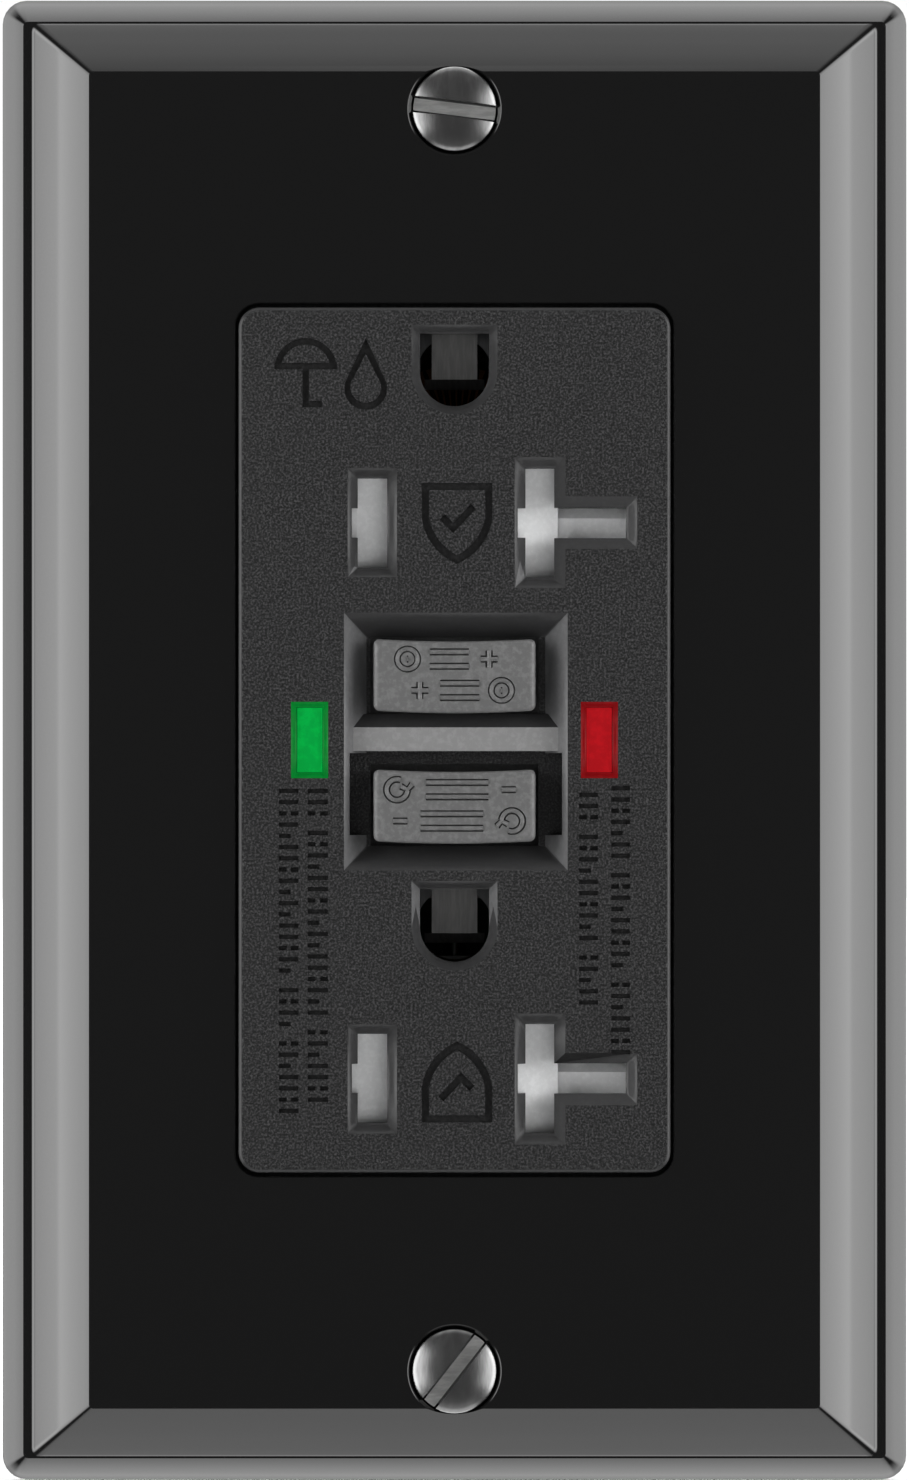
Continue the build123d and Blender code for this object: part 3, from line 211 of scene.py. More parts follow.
def skin(bm, rows, closed=True):
    """Quads between successive rows of points; each row is a ring unless closed is False."""
    made = [[bm.verts.new(p) for p in row] for row in rows]
    for before, after in zip(made, made[1:]):
        count = len(before)
        for i in range(count if closed else count - 1):
            j = (i + 1) % count
            bm.faces.new((before[i], before[j], after[j], after[i]))
    return made


def thread_radius(crest, root, turn):
    """Radius of a thread at this fraction of a pitch."""
    part = abs(2.0 * (turn - floor(turn)) - 1.0)
    return root + (crest - root) * min(1.0, max(0.0, 1.6 * part - 0.25))


def turned(bm, profile, place, segments=48, thread=None):
    """Turns (radius, along) points about place. thread is (start, end, root, pitch)."""
    rows = []
    for (r0, t0), (r1, t1) in zip(profile, profile[1:]):
        rows.append((r0, t0, False))
        if thread and min(t0, t1) >= thread[0] - 1e-6 and max(t0, t1) <= thread[1] + 1e-6 and r0 == r1:
            steps = max(2, int(abs(t1 - t0) / thread[3] * 8))
            for i in range(1, steps):
                rows.append((r0, t0 + (t1 - t0) * i / steps, True))
    rows.append((*profile[-1], False))
    rings = []
    for radius, along, cut in rows:
        if radius <= 0:
            rings.append([place @ Vector((0, 0, along))])
            continue
        ring = []
        for i in range(segments):
            a = tau * i / segments
            r = radius
            if cut:
                r = thread_radius(radius, thread[2], along / thread[3] + i / segments)
            ring.append(place @ Vector((r * cos(a), r * sin(a), along)))
        rings.append(ring)
    made = [[bm.verts.new(p) for p in ring] for ring in rings]
    for before, after in zip(made, made[1:]):
        for i in range(segments):
            j = (i + 1) % segments
            if len(before) == 1:
                bm.faces.new((before[0], after[j], after[i]))
            elif len(after) == 1:
                bm.faces.new((before[i], before[j], after[0]))
            else:
                bm.faces.new((before[i], before[j], after[j], after[i]))


def wire(bm, path, radius, sides=8):
    """Round wire along a list of points, with closed ends."""
    points = [Vector(p) for p in path]
    along = (points[1] - points[0]).normalized()
    across = along.orthogonal().normalized()
    rings = []
    for i, point in enumerate(points):
        ahead = points[min(i + 1, len(points) - 1)] - points[max(i - 1, 0)]
        ahead.normalize()
        across = (across - ahead * across.dot(ahead)).normalized()
        up = ahead.cross(across)
        rings.append([
            point + radius * (cos(tau * k / sides) * across + sin(tau * k / sides) * up)
            for k in range(sides)
        ])
    made = skin(bm, rings)
    bm.faces.new(list(reversed(made[0])))
    bm.faces.new(made[-1])


def box(bm, low, high, turn=None, about=(0, 0, 0)):
    """Closed box between two corners, which may be turned about a point."""
    low, high = Vector(low), Vector(high)
    corners = [
        Vector((x, y, z)) for x in (low.x, high.x) for y in (low.y, high.y) for z in (low.z, high.z)
    ]
    if turn:
        corners = [turn @ (c - Vector(about)) + Vector(about) for c in corners]
    v = [bm.verts.new(c) for c in corners]
    for a, b, c, d in ((0, 1, 3, 2), (4, 6, 7, 5), (0, 4, 5, 1), (2, 3, 7, 6), (0, 2, 6, 4), (1, 5, 7, 3)):
        bm.faces.new((v[a], v[b], v[c], v[d]))


def cut(bm, cutters, operation="DIFFERENCE"):
    """Boolean of two bmeshes; gives back the first one's result and frees both.

    Faces keep their material index, up to 1.
    """
    shapes = []
    for source in (bm, cutters):
        bmesh.ops.recalc_face_normals(source, faces=source.faces)
        mesh = bpy.data.meshes.new("cut_shape")
        source.to_mesh(mesh)
        source.free()
        mesh.materials.append(None)
        mesh.materials.append(None)
        shape = bpy.data.objects.new("cut_shape", mesh)
        bpy.context.scene.collection.objects.link(shape)
        shapes.append(shape)
    modifier = shapes[0].modifiers.new("cut", "BOOLEAN")
    modifier.operation = operation
    modifier.solver = "EXACT"
    modifier.object = shapes[1]
    bpy.context.view_layer.update()
    done = bpy.data.meshes.new_from_object(shapes[0].evaluated_get(bpy.context.evaluated_depsgraph_get()))
    result = bmesh.new()
    result.from_mesh(done)
    bpy.data.meshes.remove(done)
    for shape in shapes:
        mesh = shape.data
        bpy.data.objects.remove(shape)
        bpy.data.meshes.remove(mesh)
    return result


def joined(target, source):
    """Adds source to target and frees source."""
    mesh = bpy.data.meshes.new("joined")
    source.to_mesh(mesh)
    source.free()
    target.from_mesh(mesh)
    bpy.data.meshes.remove(mesh)


def node_mesh(node):
    """A CAD node's mesh in millimetres, as a bmesh with its seams closed."""
    bm = bmesh.new()
    bm.from_mesh(frame["nodes"][node].data)
    bmesh.ops.scale(bm, vec=(1 / MM, 1 / MM, 1 / MM), verts=bm.verts)
    bmesh.ops.remove_doubles(bm, verts=bm.verts, dist=2e-4)
    return bm


def extent(node):
    """Lowest and highest corner of a CAD node, in millimetres."""
    low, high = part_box(node)
    return low / MM, high / MM


# ---------------------------------------------------------------------------
# Node groups

def new_group(name, inputs, outputs):
    """Empty shader node group with named sockets: inputs are (name, type, default)."""
    group = bpy.data.node_groups.new(name, "ShaderNodeTree")
    for title, kind, value in inputs:
        socket = group.interface.new_socket(name=title, in_out="INPUT", socket_type=kind)
        if value is not None:
            socket.default_value = value
    for title, kind in outputs:
        group.interface.new_socket(name=title, in_out="OUTPUT", socket_type=kind)
    entry = group.nodes.new("NodeGroupInput")
    leave = group.nodes.new("NodeGroupOutput")
    return group, entry, leave


def math_node(tree, operation, a, b=None, clamp=False):
    """Math node with its inputs linked or set."""
    node = tree.nodes.new("ShaderNodeMath")
    node.operation = operation
    node.use_clamp = clamp
    for socket, value in zip(node.inputs, (a, b)):
        if value is None:
            continue
        if isinstance(value, (int, float)):
            socket.default_value = value
        else:
            tree.links.new(value, socket)
    return node.outputs[0]


def noise_node(tree, vector, scale, detail, roughness=0.5):
    """Noise texture; scale is a number or a socket."""
    node = tree.nodes.new("ShaderNodeTexNoise")
    tree.links.new(vector, node.inputs["Vector"])
    if isinstance(scale, (int, float)):
        node.inputs["Scale"].default_value = scale
    else:
        tree.links.new(scale, node.inputs["Scale"])
    node.inputs["Detail"].default_value = detail
    node.inputs["Roughness"].default_value = roughness
    return node.outputs["Fac"]


def ranged(tree, value, low, high, to_low, to_high):
    """Map Range node with smooth ends."""
    node = tree.nodes.new("ShaderNodeMapRange")
    node.interpolation_type = "SMOOTHSTEP"
    tree.links.new(value, node.inputs["Value"])
    for title, number in (("From Min", low), ("From Max", high), ("To Min", to_low), ("To Max", to_high)):
        if isinstance(number, (int, float)):
            node.inputs[title].default_value = number
        else:
            tree.links.new(number, node.inputs[title])
    return node.outputs["Result"]


def mould_grain_group():
    """Spark-eroded grain of a moulding: fine pits over a coarser mottle."""
    group, entry, leave = new_group(
        "mould_grain",
        (("Vector", "NodeSocketVector", None), ("Scale", "NodeSocketFloat", 2500.0)),
        (("Height", "NodeSocketFloat"), ("Fleck", "NodeSocketFloat")),
    )
    vector, scale = entry.outputs["Vector"], entry.outputs["Scale"]
    fine = noise_node(group, vector, scale, 3.0, 0.6)
    half = math_node(group, "MULTIPLY", scale, 0.45)
    coarse = noise_node(group, vector, half, 2.0)
    pits = group.nodes.new("ShaderNodeTexVoronoi")
    group.links.new(vector, pits.inputs["Vector"])
    group.links.new(math_node(group, "MULTIPLY", scale, 0.8), pits.inputs["Scale"])
    shallow = math_node(group, "MULTIPLY", pits.outputs["Distance"], 0.6)
    height = math_node(group, "ADD", math_node(group, "MULTIPLY", fine, 0.7), coarse)
    group.links.new(math_node(group, "SUBTRACT", height, shallow), leave.inputs["Height"])
    group.links.new(ranged(group, fine, 0.42, 0.68, 0.0, 1.0), leave.inputs["Fleck"])
    return group


def worked_metal_group():
    """Lines that rolling, drawing or plating leaves along a metal part."""
    group, entry, leave = new_group(
        "worked_metal",
        (("Vector", "NodeSocketVector", None), ("Stretch", "NodeSocketVector", (1.0, 1.0, 1.0)),
         ("Scale", "NodeSocketFloat", 1200.0)),
        (("Height", "NodeSocketFloat"), ("Streak", "NodeSocketFloat")),
    )
    stretch = group.nodes.new("ShaderNodeVectorMath")
    stretch.operation = "MULTIPLY"
    group.links.new(entry.outputs["Vector"], stretch.inputs[0])
    group.links.new(entry.outputs["Stretch"], stretch.inputs[1])
    lines = noise_node(group, stretch.outputs[0], entry.outputs["Scale"], 4.0, 0.65)
    group.links.new(lines, leave.inputs["Height"])
    group.links.new(ranged(group, lines, 0.38, 0.66, 0.0, 1.0), leave.inputs["Streak"])
    return group


def dull_film_group():
    """Patches of tarnish, handling and dust: a soft mask."""
    group, entry, leave = new_group(
        "dull_film",
        (("Vector", "NodeSocketVector", None), ("Scale", "NodeSocketFloat", 90.0),
         ("Cover", "NodeSocketFloat", 0.5)),
        (("Film", "NodeSocketFloat"),),
    )
    patches = noise_node(group, entry.outputs["Vector"], entry.outputs["Scale"], 5.0, 0.55)
    threshold = math_node(group, "SUBTRACT", 0.95, math_node(group, "MULTIPLY", entry.outputs["Cover"], 0.7))
    upper = math_node(group, "ADD", threshold, 0.22)
    group.links.new(ranged(group, patches, threshold, upper, 0.0, 1.0), leave.inputs["Film"])
    return group


def effect(name):
    """The shared node group of that name, made at its first use."""
    makers = {"mould_grain": mould_grain_group, "worked_metal": worked_metal_group,
              "dull_film": dull_film_group}
    return bpy.data.node_groups.get(name) or makers[name]()


# ---------------------------------------------------------------------------
# Materials

def new_surface(name):
    """Material with a Principled shader. Gives its tree, the shader and the object's own coordinates."""
    material = bpy.data.materials.new(name)
    material.use_nodes = True
    tree = material.node_tree
    shader = tree.nodes["Principled BSDF"]
    place = tree.nodes.new("ShaderNodeTexCoord").outputs["Object"]
    return material, tree, shader, place


def group_node(tree, name, place, **values):
    """A shared effect placed in a material with its own values."""
    node = tree.nodes.new("ShaderNodeGroup")
    node.node_tree = effect(name)
    tree.links.new(place, node.inputs["Vector"])
    for title, value in values.items():
        node.inputs[title].default_value = value
    return node.outputs


def mixed(tree, mask, first, second):
    """Colour that runs from first to second with the mask; either may be a socket."""
    node = tree.nodes.new("ShaderNodeMix")
    node.data_type = "RGBA"
    tree.links.new(mask, node.inputs["Factor"])
    for title, value in (("A", first), ("B", second)):
        socket = next(s for s in node.inputs if s.name == title and s.type == "RGBA")
        if isinstance(value, bpy.types.NodeSocket):
            tree.links.new(value, socket)
        else:
            socket.default_value = (*value, 1.0)
    return next(s for s in node.outputs if s.type == "RGBA")


def bumped(tree, shader, height, distance, strength=1.0, below=None):
    """Bump from a height into the shader's normal."""
    node = tree.nodes.new("ShaderNodeBump")
    node.inputs["Distance"].default_value = distance
    node.inputs["Strength"].default_value = strength
    tree.links.new(height, node.inputs["Height"])
    if below is not None:
        tree.links.new(below, node.inputs["Normal"])
    tree.links.new(node.outputs["Normal"], shader.inputs["Normal"])
    return node.outputs["Normal"]


def painted(tree, shader, mask, first, second):
    """Base colour that runs from first to second with the mask."""
    tree.links.new(mixed(tree, mask, first, second), shader.inputs["Base Color"])


def dulled(tree, shader, film, clean, covered):
    """Roughness that runs from clean to covered with the film."""
    tree.links.new(ranged(tree, film, 0.0, 1.0, clean, covered), shader.inputs["Roughness"])


def shade(colour, factor):
    """A colour made lighter or darker."""
    return tuple(min(1.0, c * factor) for c in colour)


def moulded(name, colour, roughness, grain=2500.0, depth=0.008, fleck=0.25, film=0.4, ior=1.5):
    """Moulded plastic: grain in relief and colour, and a faint film of handling."""
    material, tree, shader, place = new_surface(name)
    texture = group_node(tree, "mould_grain", place, Scale=grain)
    haze = group_node(tree, "dull_film", place, Scale=70.0, Cover=film)
    speckled = mixed(tree, texture["Fleck"], shade(colour, 1 - fleck), shade(colour, 1 + fleck))
    painted(tree, shader, haze["Film"], speckled, shade(colour, 1.12))
    dulled(tree, shader, haze["Film"], roughness, roughness + 0.08)
    shader.inputs["IOR"].default_value = ior
    bumped(tree, shader, texture["Height"], depth * MM)
    return material


def metal(name, colour, roughness, stretch=(1.0, 1.0, 1.0), scale=1200.0, depth=0.004, film=0.45, dull=0.55):
    """Bare or plated metal: working lines, and a patchy duller film."""
    material, tree, shader, place = new_surface(name)
    lines = group_node(tree, "worked_metal", place, Scale=scale, Stretch=stretch)
    haze = group_node(tree, "dull_film", place, Scale=160.0, Cover=film)
    streaked = mixed(tree, lines["Streak"], shade(colour, 0.86), shade(colour, 1.08))
    painted(tree, shader, haze["Film"], streaked, shade(colour, dull))
    dulled(tree, shader, haze["Film"], roughness, roughness + 0.18)
    shader.inputs["Metallic"].default_value = 1.0
    bumped(tree, shader, lines["Height"], depth * MM)
    return material


def gloss_plate_surface(colour):
    """Polished plate: near black, a trace of flow in the surface and faint wiping marks."""
    material, tree, shader, place = new_surface("gloss_plate")
    haze = group_node(tree, "dull_film", place, Scale=45.0, Cover=0.35)
    flow = noise_node(tree, place, 260.0, 1.5)
    painted(tree, shader, haze["Film"], colour, shade(colour, 1.5))
    dulled(tree, shader, haze["Film"], 0.07, 0.10)
    shader.inputs["IOR"].default_value = 2.1
    bumped(tree, shader, flow, 0.003 * MM)
    return material


def lens_surface(name, colour, rim):
    """Lit lens: a glow speckled by the moulding's grain over a darker base colour, with the grain in relief;
    it also makes the painted glow round the lenses.
    """
    material, tree, shader, place = new_surface(name)
    texture = group_node(tree, "mould_grain", place, Scale=1400.0)
    glow = mixed(tree, texture["Fleck"], shade(colour, 0.82), colour)
    tree.links.new(glow, shader.inputs["Emission Color"])
    shader.inputs["Emission Strength"].default_value = 0.63
    shader.inputs["IOR"].default_value = 1.2
    painted(tree, shader, texture["Fleck"], shade(rim, 0.8), rim)
    shader.inputs["Roughness"].default_value = 0.28
    bumped(tree, shader, texture["Height"], 0.01 * MM)
    return material


def laminate_surface(name, colour):
    """Circuit board: green mask over a fine glass weave."""
    material, tree, shader, place = new_surface(name)
    haze = group_node(tree, "dull_film", place, Scale=120.0, Cover=0.5)
    weave = tree.nodes.new("ShaderNodeTexBrick")
    tree.links.new(place, weave.inputs["Vector"])
    weave.inputs["Scale"].default_value = 900.0
    weave.inputs["Mortar Size"].default_value = 0.08
    weave.inputs["Color1"].default_value = (1, 1, 1, 1)
    weave.inputs["Color2"].default_value = (0.8, 0.8, 0.8, 1)
    weave.inputs["Mortar"].default_value = (0, 0, 0, 1)
    woven = mixed(tree, weave.outputs["Color"], shade(colour, 0.75), colour)
    painted(tree, shader, haze["Film"], woven, shade(colour, 1.35))
    dulled(tree, shader, haze["Film"], 0.28, 0.42)
    bumped(tree, shader, weave.outputs["Color"], 0.004 * MM)
    return material


def banded_surface(name, colour):
    """Resistor coat: beige lacquer with turned bands that differ along X."""
    material, tree, shader, place = new_surface(name)
    texture = group_node(tree, "mould_grain", place, Scale=1500.0)
    split = tree.nodes.new("ShaderNodeSeparateXYZ")
    tree.links.new(place, split.inputs[0])
    across = math_node(tree, "FRACT", math_node(tree, "MULTIPLY", split.outputs["X"], 800.0))
    off_middle = math_node(tree, "ABSOLUTE", math_node(tree, "SUBTRACT", across, 0.5))
    band = ranged(tree, off_middle, 0.2, 0.25, 1.0, 0.0)
    hue = noise_node(tree, place, 420.0, 0.0)
    ink = mixed(tree, ranged(tree, hue, 0.4, 0.6, 0.0, 1.0), (0.18, 0.04, 0.01), (0.03, 0.02, 0.12))
    coat = mixed(tree, texture["Fleck"], shade(colour, 0.85), colour)
    painted(tree, shader, band, coat, ink)
    shader.inputs["Roughness"].default_value = 0.35
    bumped(tree, shader, texture["Height"], 0.01 * MM)
    return material


def floor_surface():
    """Pale matt floor with a barely mottled coat."""
    material, tree, shader, place = new_surface("pale_floor")
    texture = group_node(tree, "mould_grain", place, Scale=300.0)
    painted(tree, shader, texture["Fleck"], (0.83, 0.83, 0.83), (0.86, 0.86, 0.86))
    shader.inputs["Roughness"].default_value = 0.7
    bumped(tree, shader, texture["Height"], 0.05 * MM)
    return material


def finishes():
    """Maker and values of every finish, by the record's material slot."""
    scene = bpy.context.scene
    plate, face, metals = scene.receptacle_plate, scene.receptacle_face, scene.receptacle_metals
    return {
        "plate_plastic": (gloss_plate_surface, plate.colour),
        "plate_screw_metal": (metal, 
            "plate_screw_nickel", plate.screw_colour, 0.27, (1.0, 1.0, 0.2), 1100.0, 0.012, 0.45, 0.5),
        "face_plastic": (moulded, "face_grain", face.colour, 0.44, 6200.0, 0.055, 0.7, 0.2),
        "button_plastic": (moulded, "button_satin", face.button_colour, 0.33, 2600.0, 0.01, 0.15),
        "green_lens": (lens_surface, "green_lens_lit", face.green, (0.0, 0.12, 0.02)),
        "red_lens": (lens_surface, "red_lens_lit", face.red, (0.12, 0.002, 0.004)),
        "lamp_lens": (moulded, "lamp_epoxy", (0.75, 0.78, 0.74), 0.12, 900.0, 0.003, 0.05),
        "shutter_plastic": (moulded, "shutter_ivory", face.shutter_colour, 0.38, 2600.0, 0.006, 0.04),
        "retainer_plastic": (moulded, "retainer_grey", (0.045, 0.045, 0.047), 0.45, 2600.0, 0.008),
        "spring_steel": (metal, "drawn_spring_wire", metals.steel, 0.22, (1.0, 1.0, 1.0), 2600.0, 0.002),
        "strap_steel": (metal, "zinc_strap", metals.zinc, 0.34, (3.0, 1.0, 0.25), 1500.0, 0.006, 0.6, 0.72),
        "ground_leaf_metal": (metal, "ground_leaf_bronze", (0.5, 0.495, 0.49), 0.45, (3.0, 1.0, 0.3)),
        "ground_screw_paint": (moulded, "ground_screw_green", metals.green_paint, 0.3, 1600.0, 0.01, 0.2),
        "screw_steel": (metal, "zinc_screws", metals.zinc, 0.3, (1.0, 1.0, 1.0), 1700.0, 0.004, 0.55),
        "washer_plastic": (moulded, "fibre_washer", (0.30, 0.21, 0.12), 0.7, 1800.0, 0.02, 0.3),
        "middle_plastic": (moulded, "frame_thermoset", (0.05, 0.05, 0.055), 0.45, 2200.0, 0.012),
        "housing_plastic": (moulded, "housing_thermoset", (0.028, 0.028, 0.03), 0.42, 2400.0, 0.02, 0.3),
        "contact_brass": (metal, "stamped_brass", metals.brass, 0.27, (2.5, 2.5, 0.3), 1300.0),
        "contact_nickel": (metal, "stamped_nickel", metals.nickel, 0.27, (2.5, 2.5, 0.3), 1300.0),
        "contact_silver": (metal, "contact_rivets", metals.silver, 0.2, (1.0, 1.0, 1.0), 2400.0),
        "latch_plastic": (moulded, "latch_nylon", (0.66, 0.62, 0.5), 0.4, 2200.0, 0.008, 0.06),
        "latch_steel": (metal, "latch_steel_blued", metals.steel, 0.3, (2.0, 2.0, 0.4), 1400.0),
        "bobbin_plastic": (moulded, "bobbin_nylon", (0.02, 0.02, 0.022), 0.38, 2200.0, 0.008),
        "winding_copper": (metal, "enamelled_copper", metals.copper, 0.22, (1.0, 1.0, 1.0), 1900.0, 0.003),
        "board_laminate": (laminate_surface, "board_mask", (0.012, 0.13, 0.045)),
        "chip_plastic": (moulded, "chip_epoxy", (0.018, 0.018, 0.019), 0.5, 3200.0, 0.012),
        "capacitor_coat": (moulded, "capacitor_lacquer", (0.02, 0.12, 0.38), 0.22, 900.0, 0.01, 0.12),
        "resistor_coat": (banded_surface, "resistor_lacquer", (0.55, 0.42, 0.24)),
        "case_plastic": (moulded, "transformer_cup", (0.06, 0.065, 0.075), 0.4, 2200.0, 0.008),
        "wire_insulation": (moulded, "wire_sleeve", (0.62, 0.63, 0.62), 0.36, 1500.0, 0.006, 0.06),
        "terminal_brass": (metal, "terminal_screw_brass", metals.brass, 0.24, (1.0, 1.0, 1.0), 1700.0),
        "terminal_nickel": (metal, "terminal_screw_nickel", metals.nickel, 0.24, (1.0, 1.0, 1.0), 1700.0),
    }


made_finishes = {}


def finish_for(slot):
    """The finish of one material slot."""
    if slot not in made_finishes:
        maker, *values = finishes()[slot]
        made_finishes[slot] = maker(*values)
    return made_finishes[slot]


# ---------------------------------------------------------------------------
# Pieces

def rounded_ring(half_w, half_h, corner, depth, steps=6):
    """Points of a rounded rectangle at Y = depth."""
    points = []
    for quarter, (sx, sz) in enumerate(((1, 1), (-1, 1), (-1, -1), (1, -1))):
        for i in range(steps + 1):
            a = pi / 2 * (quarter + i / steps)
            points.append((
                sx * (half_w - corner) + corner * cos(a), depth, sz * (half_h - corner) + corner * sin(a)
            ))
    return points


def between(stops, t):
    """Value at t on straight lines through the stops, each (t, value) and in order."""
    for (t0, low), (t1, high) in zip(stops, stops[1:]):
        if t <= t1:
            return low + (high - low) * (t - t0) / (t1 - t0)
    return stops[-1][1]


class RECEPTACLE_OT_wall_plate(bpy.types.Operator):
    """Make the wall plate: rolled lip, cove, mitred bevels, flat middle and countersinks"""

    bl_idname = "receptacle.wall_plate"
    bl_label = "Wall plate"

    def execute(self, context):
        sizes = context.scene.receptacle_plate
        low, high = extent("wall_plate")
        half_w, half_h, front = high.x, high.z, low.y
        lip, ledge = sizes.lip_width / MM, sizes.ledge / MM
        flat_w, flat_h = sizes.flat_width / MM / 2, sizes.flat_height / MM / 2
        open_w, open_h = sizes.opening_width / MM / 2, sizes.opening_height / MM / 2
        lip_front, corner, wall, inside = -2.4, 1.86, 1.9, -3.8
        rows = [rounded_ring(half_w, half_h, corner, 0.0)]
        # the lip's slope in degrees falls from the rim to the crest; at the top and bottom it runs
        # on almost to the bevel, and at the sides a dark ledge is left
        lip_steps, rim_front, last_w, last_h, ledge_h = 16, -0.4, lip, 1.78, 1.9
        side_slopes = ((0.0, 70.0), (0.2, 54.0), (1.0, 41.0))
        end_slopes = ((0.0, 62.0), (0.3, 50.0), (1.0, 43.5))
        inset_w, inset_h = [0.0], [0.0]
        for i in range(lip_steps):
            t = (i + 0.5) / lip_steps
            inset_w.append(inset_w[-1] + 1 / tan(radians(between(side_slopes, t))))
            inset_h.append(inset_h[-1] + 1 / tan(radians(between(end_slopes, t))))
        for i in range(lip_steps + 1):
            t = i / lip_steps
            rows.append(rounded_ring(
                half_w - last_w * inset_w[i] / inset_w[-1], half_h - last_h * inset_h[i] / inset_h[-1],
                corner + (0.4 - corner) * t, rim_front + (lip_front - rim_front) * t,
            ))
        # the ledge dips into a small cove
        for t, dip in ((0.05, 0.0), (0.6, 0.01), (0.9, 0.05), (1.0, 0.02)):
            rows.append(rounded_ring(
                half_w - last_w - (ledge - last_w) * t, half_h - last_h - (ledge_h - last_h) * t,
                0.4 + 0.3 * t, lip_front + dip,
            ))
        rise_w, rise_h = half_w - ledge - flat_w, half_h - ledge_h - flat_h
        # two facets meet at a soft ridge; slope in degrees at each part of the way across
        slopes = ((0.0, 38.6), (0.42, 36.9), (0.47, 35.4), (0.55, 34.4), (0.93, 30.8), (1.0, 29.5))
        steps = 40
        depths = [0.0]
        for i in range(steps):
            depths.append(depths[-1] + tan(radians(between(slopes, (i + 0.5) / steps))) / steps)
        for i in range(1, steps + 1):
            t = i / steps
            rows.append(rounded_ring(
                half_w - ledge - rise_w * t, half_h - ledge_h - rise_h * t, 0.7 - 0.35 * t,
                lip_front + (front - lip_front) * depths[i] / depths[-1],
            ))
        rows.append(rounded_ring(flat_w - 0.25, flat_h - 0.25, 0.3, front))
        rows.append(rounded_ring(open_w + 0.35, open_h + 0.35, 2.1, front))
        rows.append(rounded_ring(open_w + 0.14, open_h + 0.14, 1.89, front))
        rows.append(rounded_ring(open_w + 0.04, open_h + 0.04, 1.79, front + 0.04))
        rows.append(rounded_ring(open_w, open_h, 1.75, front + 0.14))
        rows.append(rounded_ring(open_w, open_h, 1.75, inside))
        rows.append(rounded_ring(open_w + 0.4, open_h + 0.4, 2.15, inside))
        rows.append(rounded_ring(flat_w - 0.5, flat_h - 0.5, 0.5, inside))
        rows.append(rounded_ring(half_w - wall, half_h - wall, 0.6, -0.7))
        rows.append(rounded_ring(half_w - wall, half_h - wall, 0.6, 0.0))
        bm = bmesh.new()
        made = skin(bm, rows)
        for i in range(len(made[0])):
            j = (i + 1) % len(made[0])
            bm.faces.new((made[-1][i], made[-1][j], made[0][j], made[0][i]))
        bosses, holes = bmesh.new(), bmesh.new()
        sink = 3.5
        for height in (PLATE_SCREW_Z, -PLATE_SCREW_Z):
            place = placed((0, 0, height), "Y")
            turned(bosses, [(0, -4.4), (3.2, -4.4), (3.2, -1.55), (3.05, -1.4), (0, -1.4)], place)
            slope = tan(radians(41))
            turned(holes, [
                (0, front - 1.0), (sink + 0.12, front - 1.0), (sink + 0.12, front - 0.001),
                (sink + 0.04, front + 0.035), (sink - 0.03, front + 0.12),
                (1.95, front + 0.12 + (sink - 0.03 - 1.95) / slope), (1.95, 1.0), (0, 1.0),
            ], place, segments=72)
        bm = cut(cut(bm, bosses, "UNION"), holes)
        bmesh.ops.remove_doubles(bm, verts=bm.verts, dist=1e-4)
        finish_piece("plate_shell", bm, "device", "plate_plastic", ("wall_plate",), 24.0, flats=True)
        return {"FINISHED"}


class RECEPTACLE_OT_plate_screws(bpy.types.Operator):
    """Make the two oval-head slotted screws of the wall plate"""

    bl_idname = "receptacle.plate_screws"
    bl_label = "Plate screws"

    def execute(self, context):
        pitch = context.scene.receptacle_plate.thread_pitch / MM
        pieces = bmesh.new()
        slot_floor = -5.3
        for height, slot_turn in ((PLATE_SCREW_Z, -7.0), (-PLATE_SCREW_Z, 52.0)):
            crown = [(3.18 * i / 10, -6.22 + 0.72 * (i / 10) ** 2.2) for i in range(1, 11)]
            profile = [(0, -6.22), *crown, (3.24, -5.42), (3.2, -5.34), (1.75, -3.6), (1.75, 7.0),
                       (1.25, 8.0), (0, 8.0)]
            screw, slots = bmesh.new(), bmesh.new()
            turned(screw, profile, placed((0, 0, height), "Y"), 72, (-3.6, 7.0, 1.33, pitch))
            turn = Matrix.Rotation(-radians(slot_turn), 3, "Y")
            box(slots, (-5, -8, height - 0.62), (5, slot_floor, height + 0.62), turn, (0, 0, height))
            screw = cut(screw, slots)
            # the saw leaves a fine deep line along each wall
            for low, high in ((-0.64, -0.48), (0.48, 0.64)):
                lines = bmesh.new()
                box(lines, (-5, -8, height + low), (5, slot_floor + 0.4, height + high), turn,
                    (0, 0, height))
                screw = cut(screw, lines)
            # the slot floors get a nickel of their own: rougher like cut metal, and much lighter as a
            # painted highlight
            for part in screw.faces:
                if abs(part.calc_center_median().y - slot_floor) < 0.01:
                    part.material_index = 1
            joined(pieces, screw)
        pair = finish_piece("plate_screw_pair", pieces, "device",
                            "plate_screw_metal", ("wall_plate_screws",))
        pair.data.materials.append(
            metal("saw_cut_nickel", (0.8, 0.8, 0.79), 0.6, (0.2, 1.0, 1.0), 2200.0, 0.01, 0.3, 0.7))
        return {"FINISHED"}


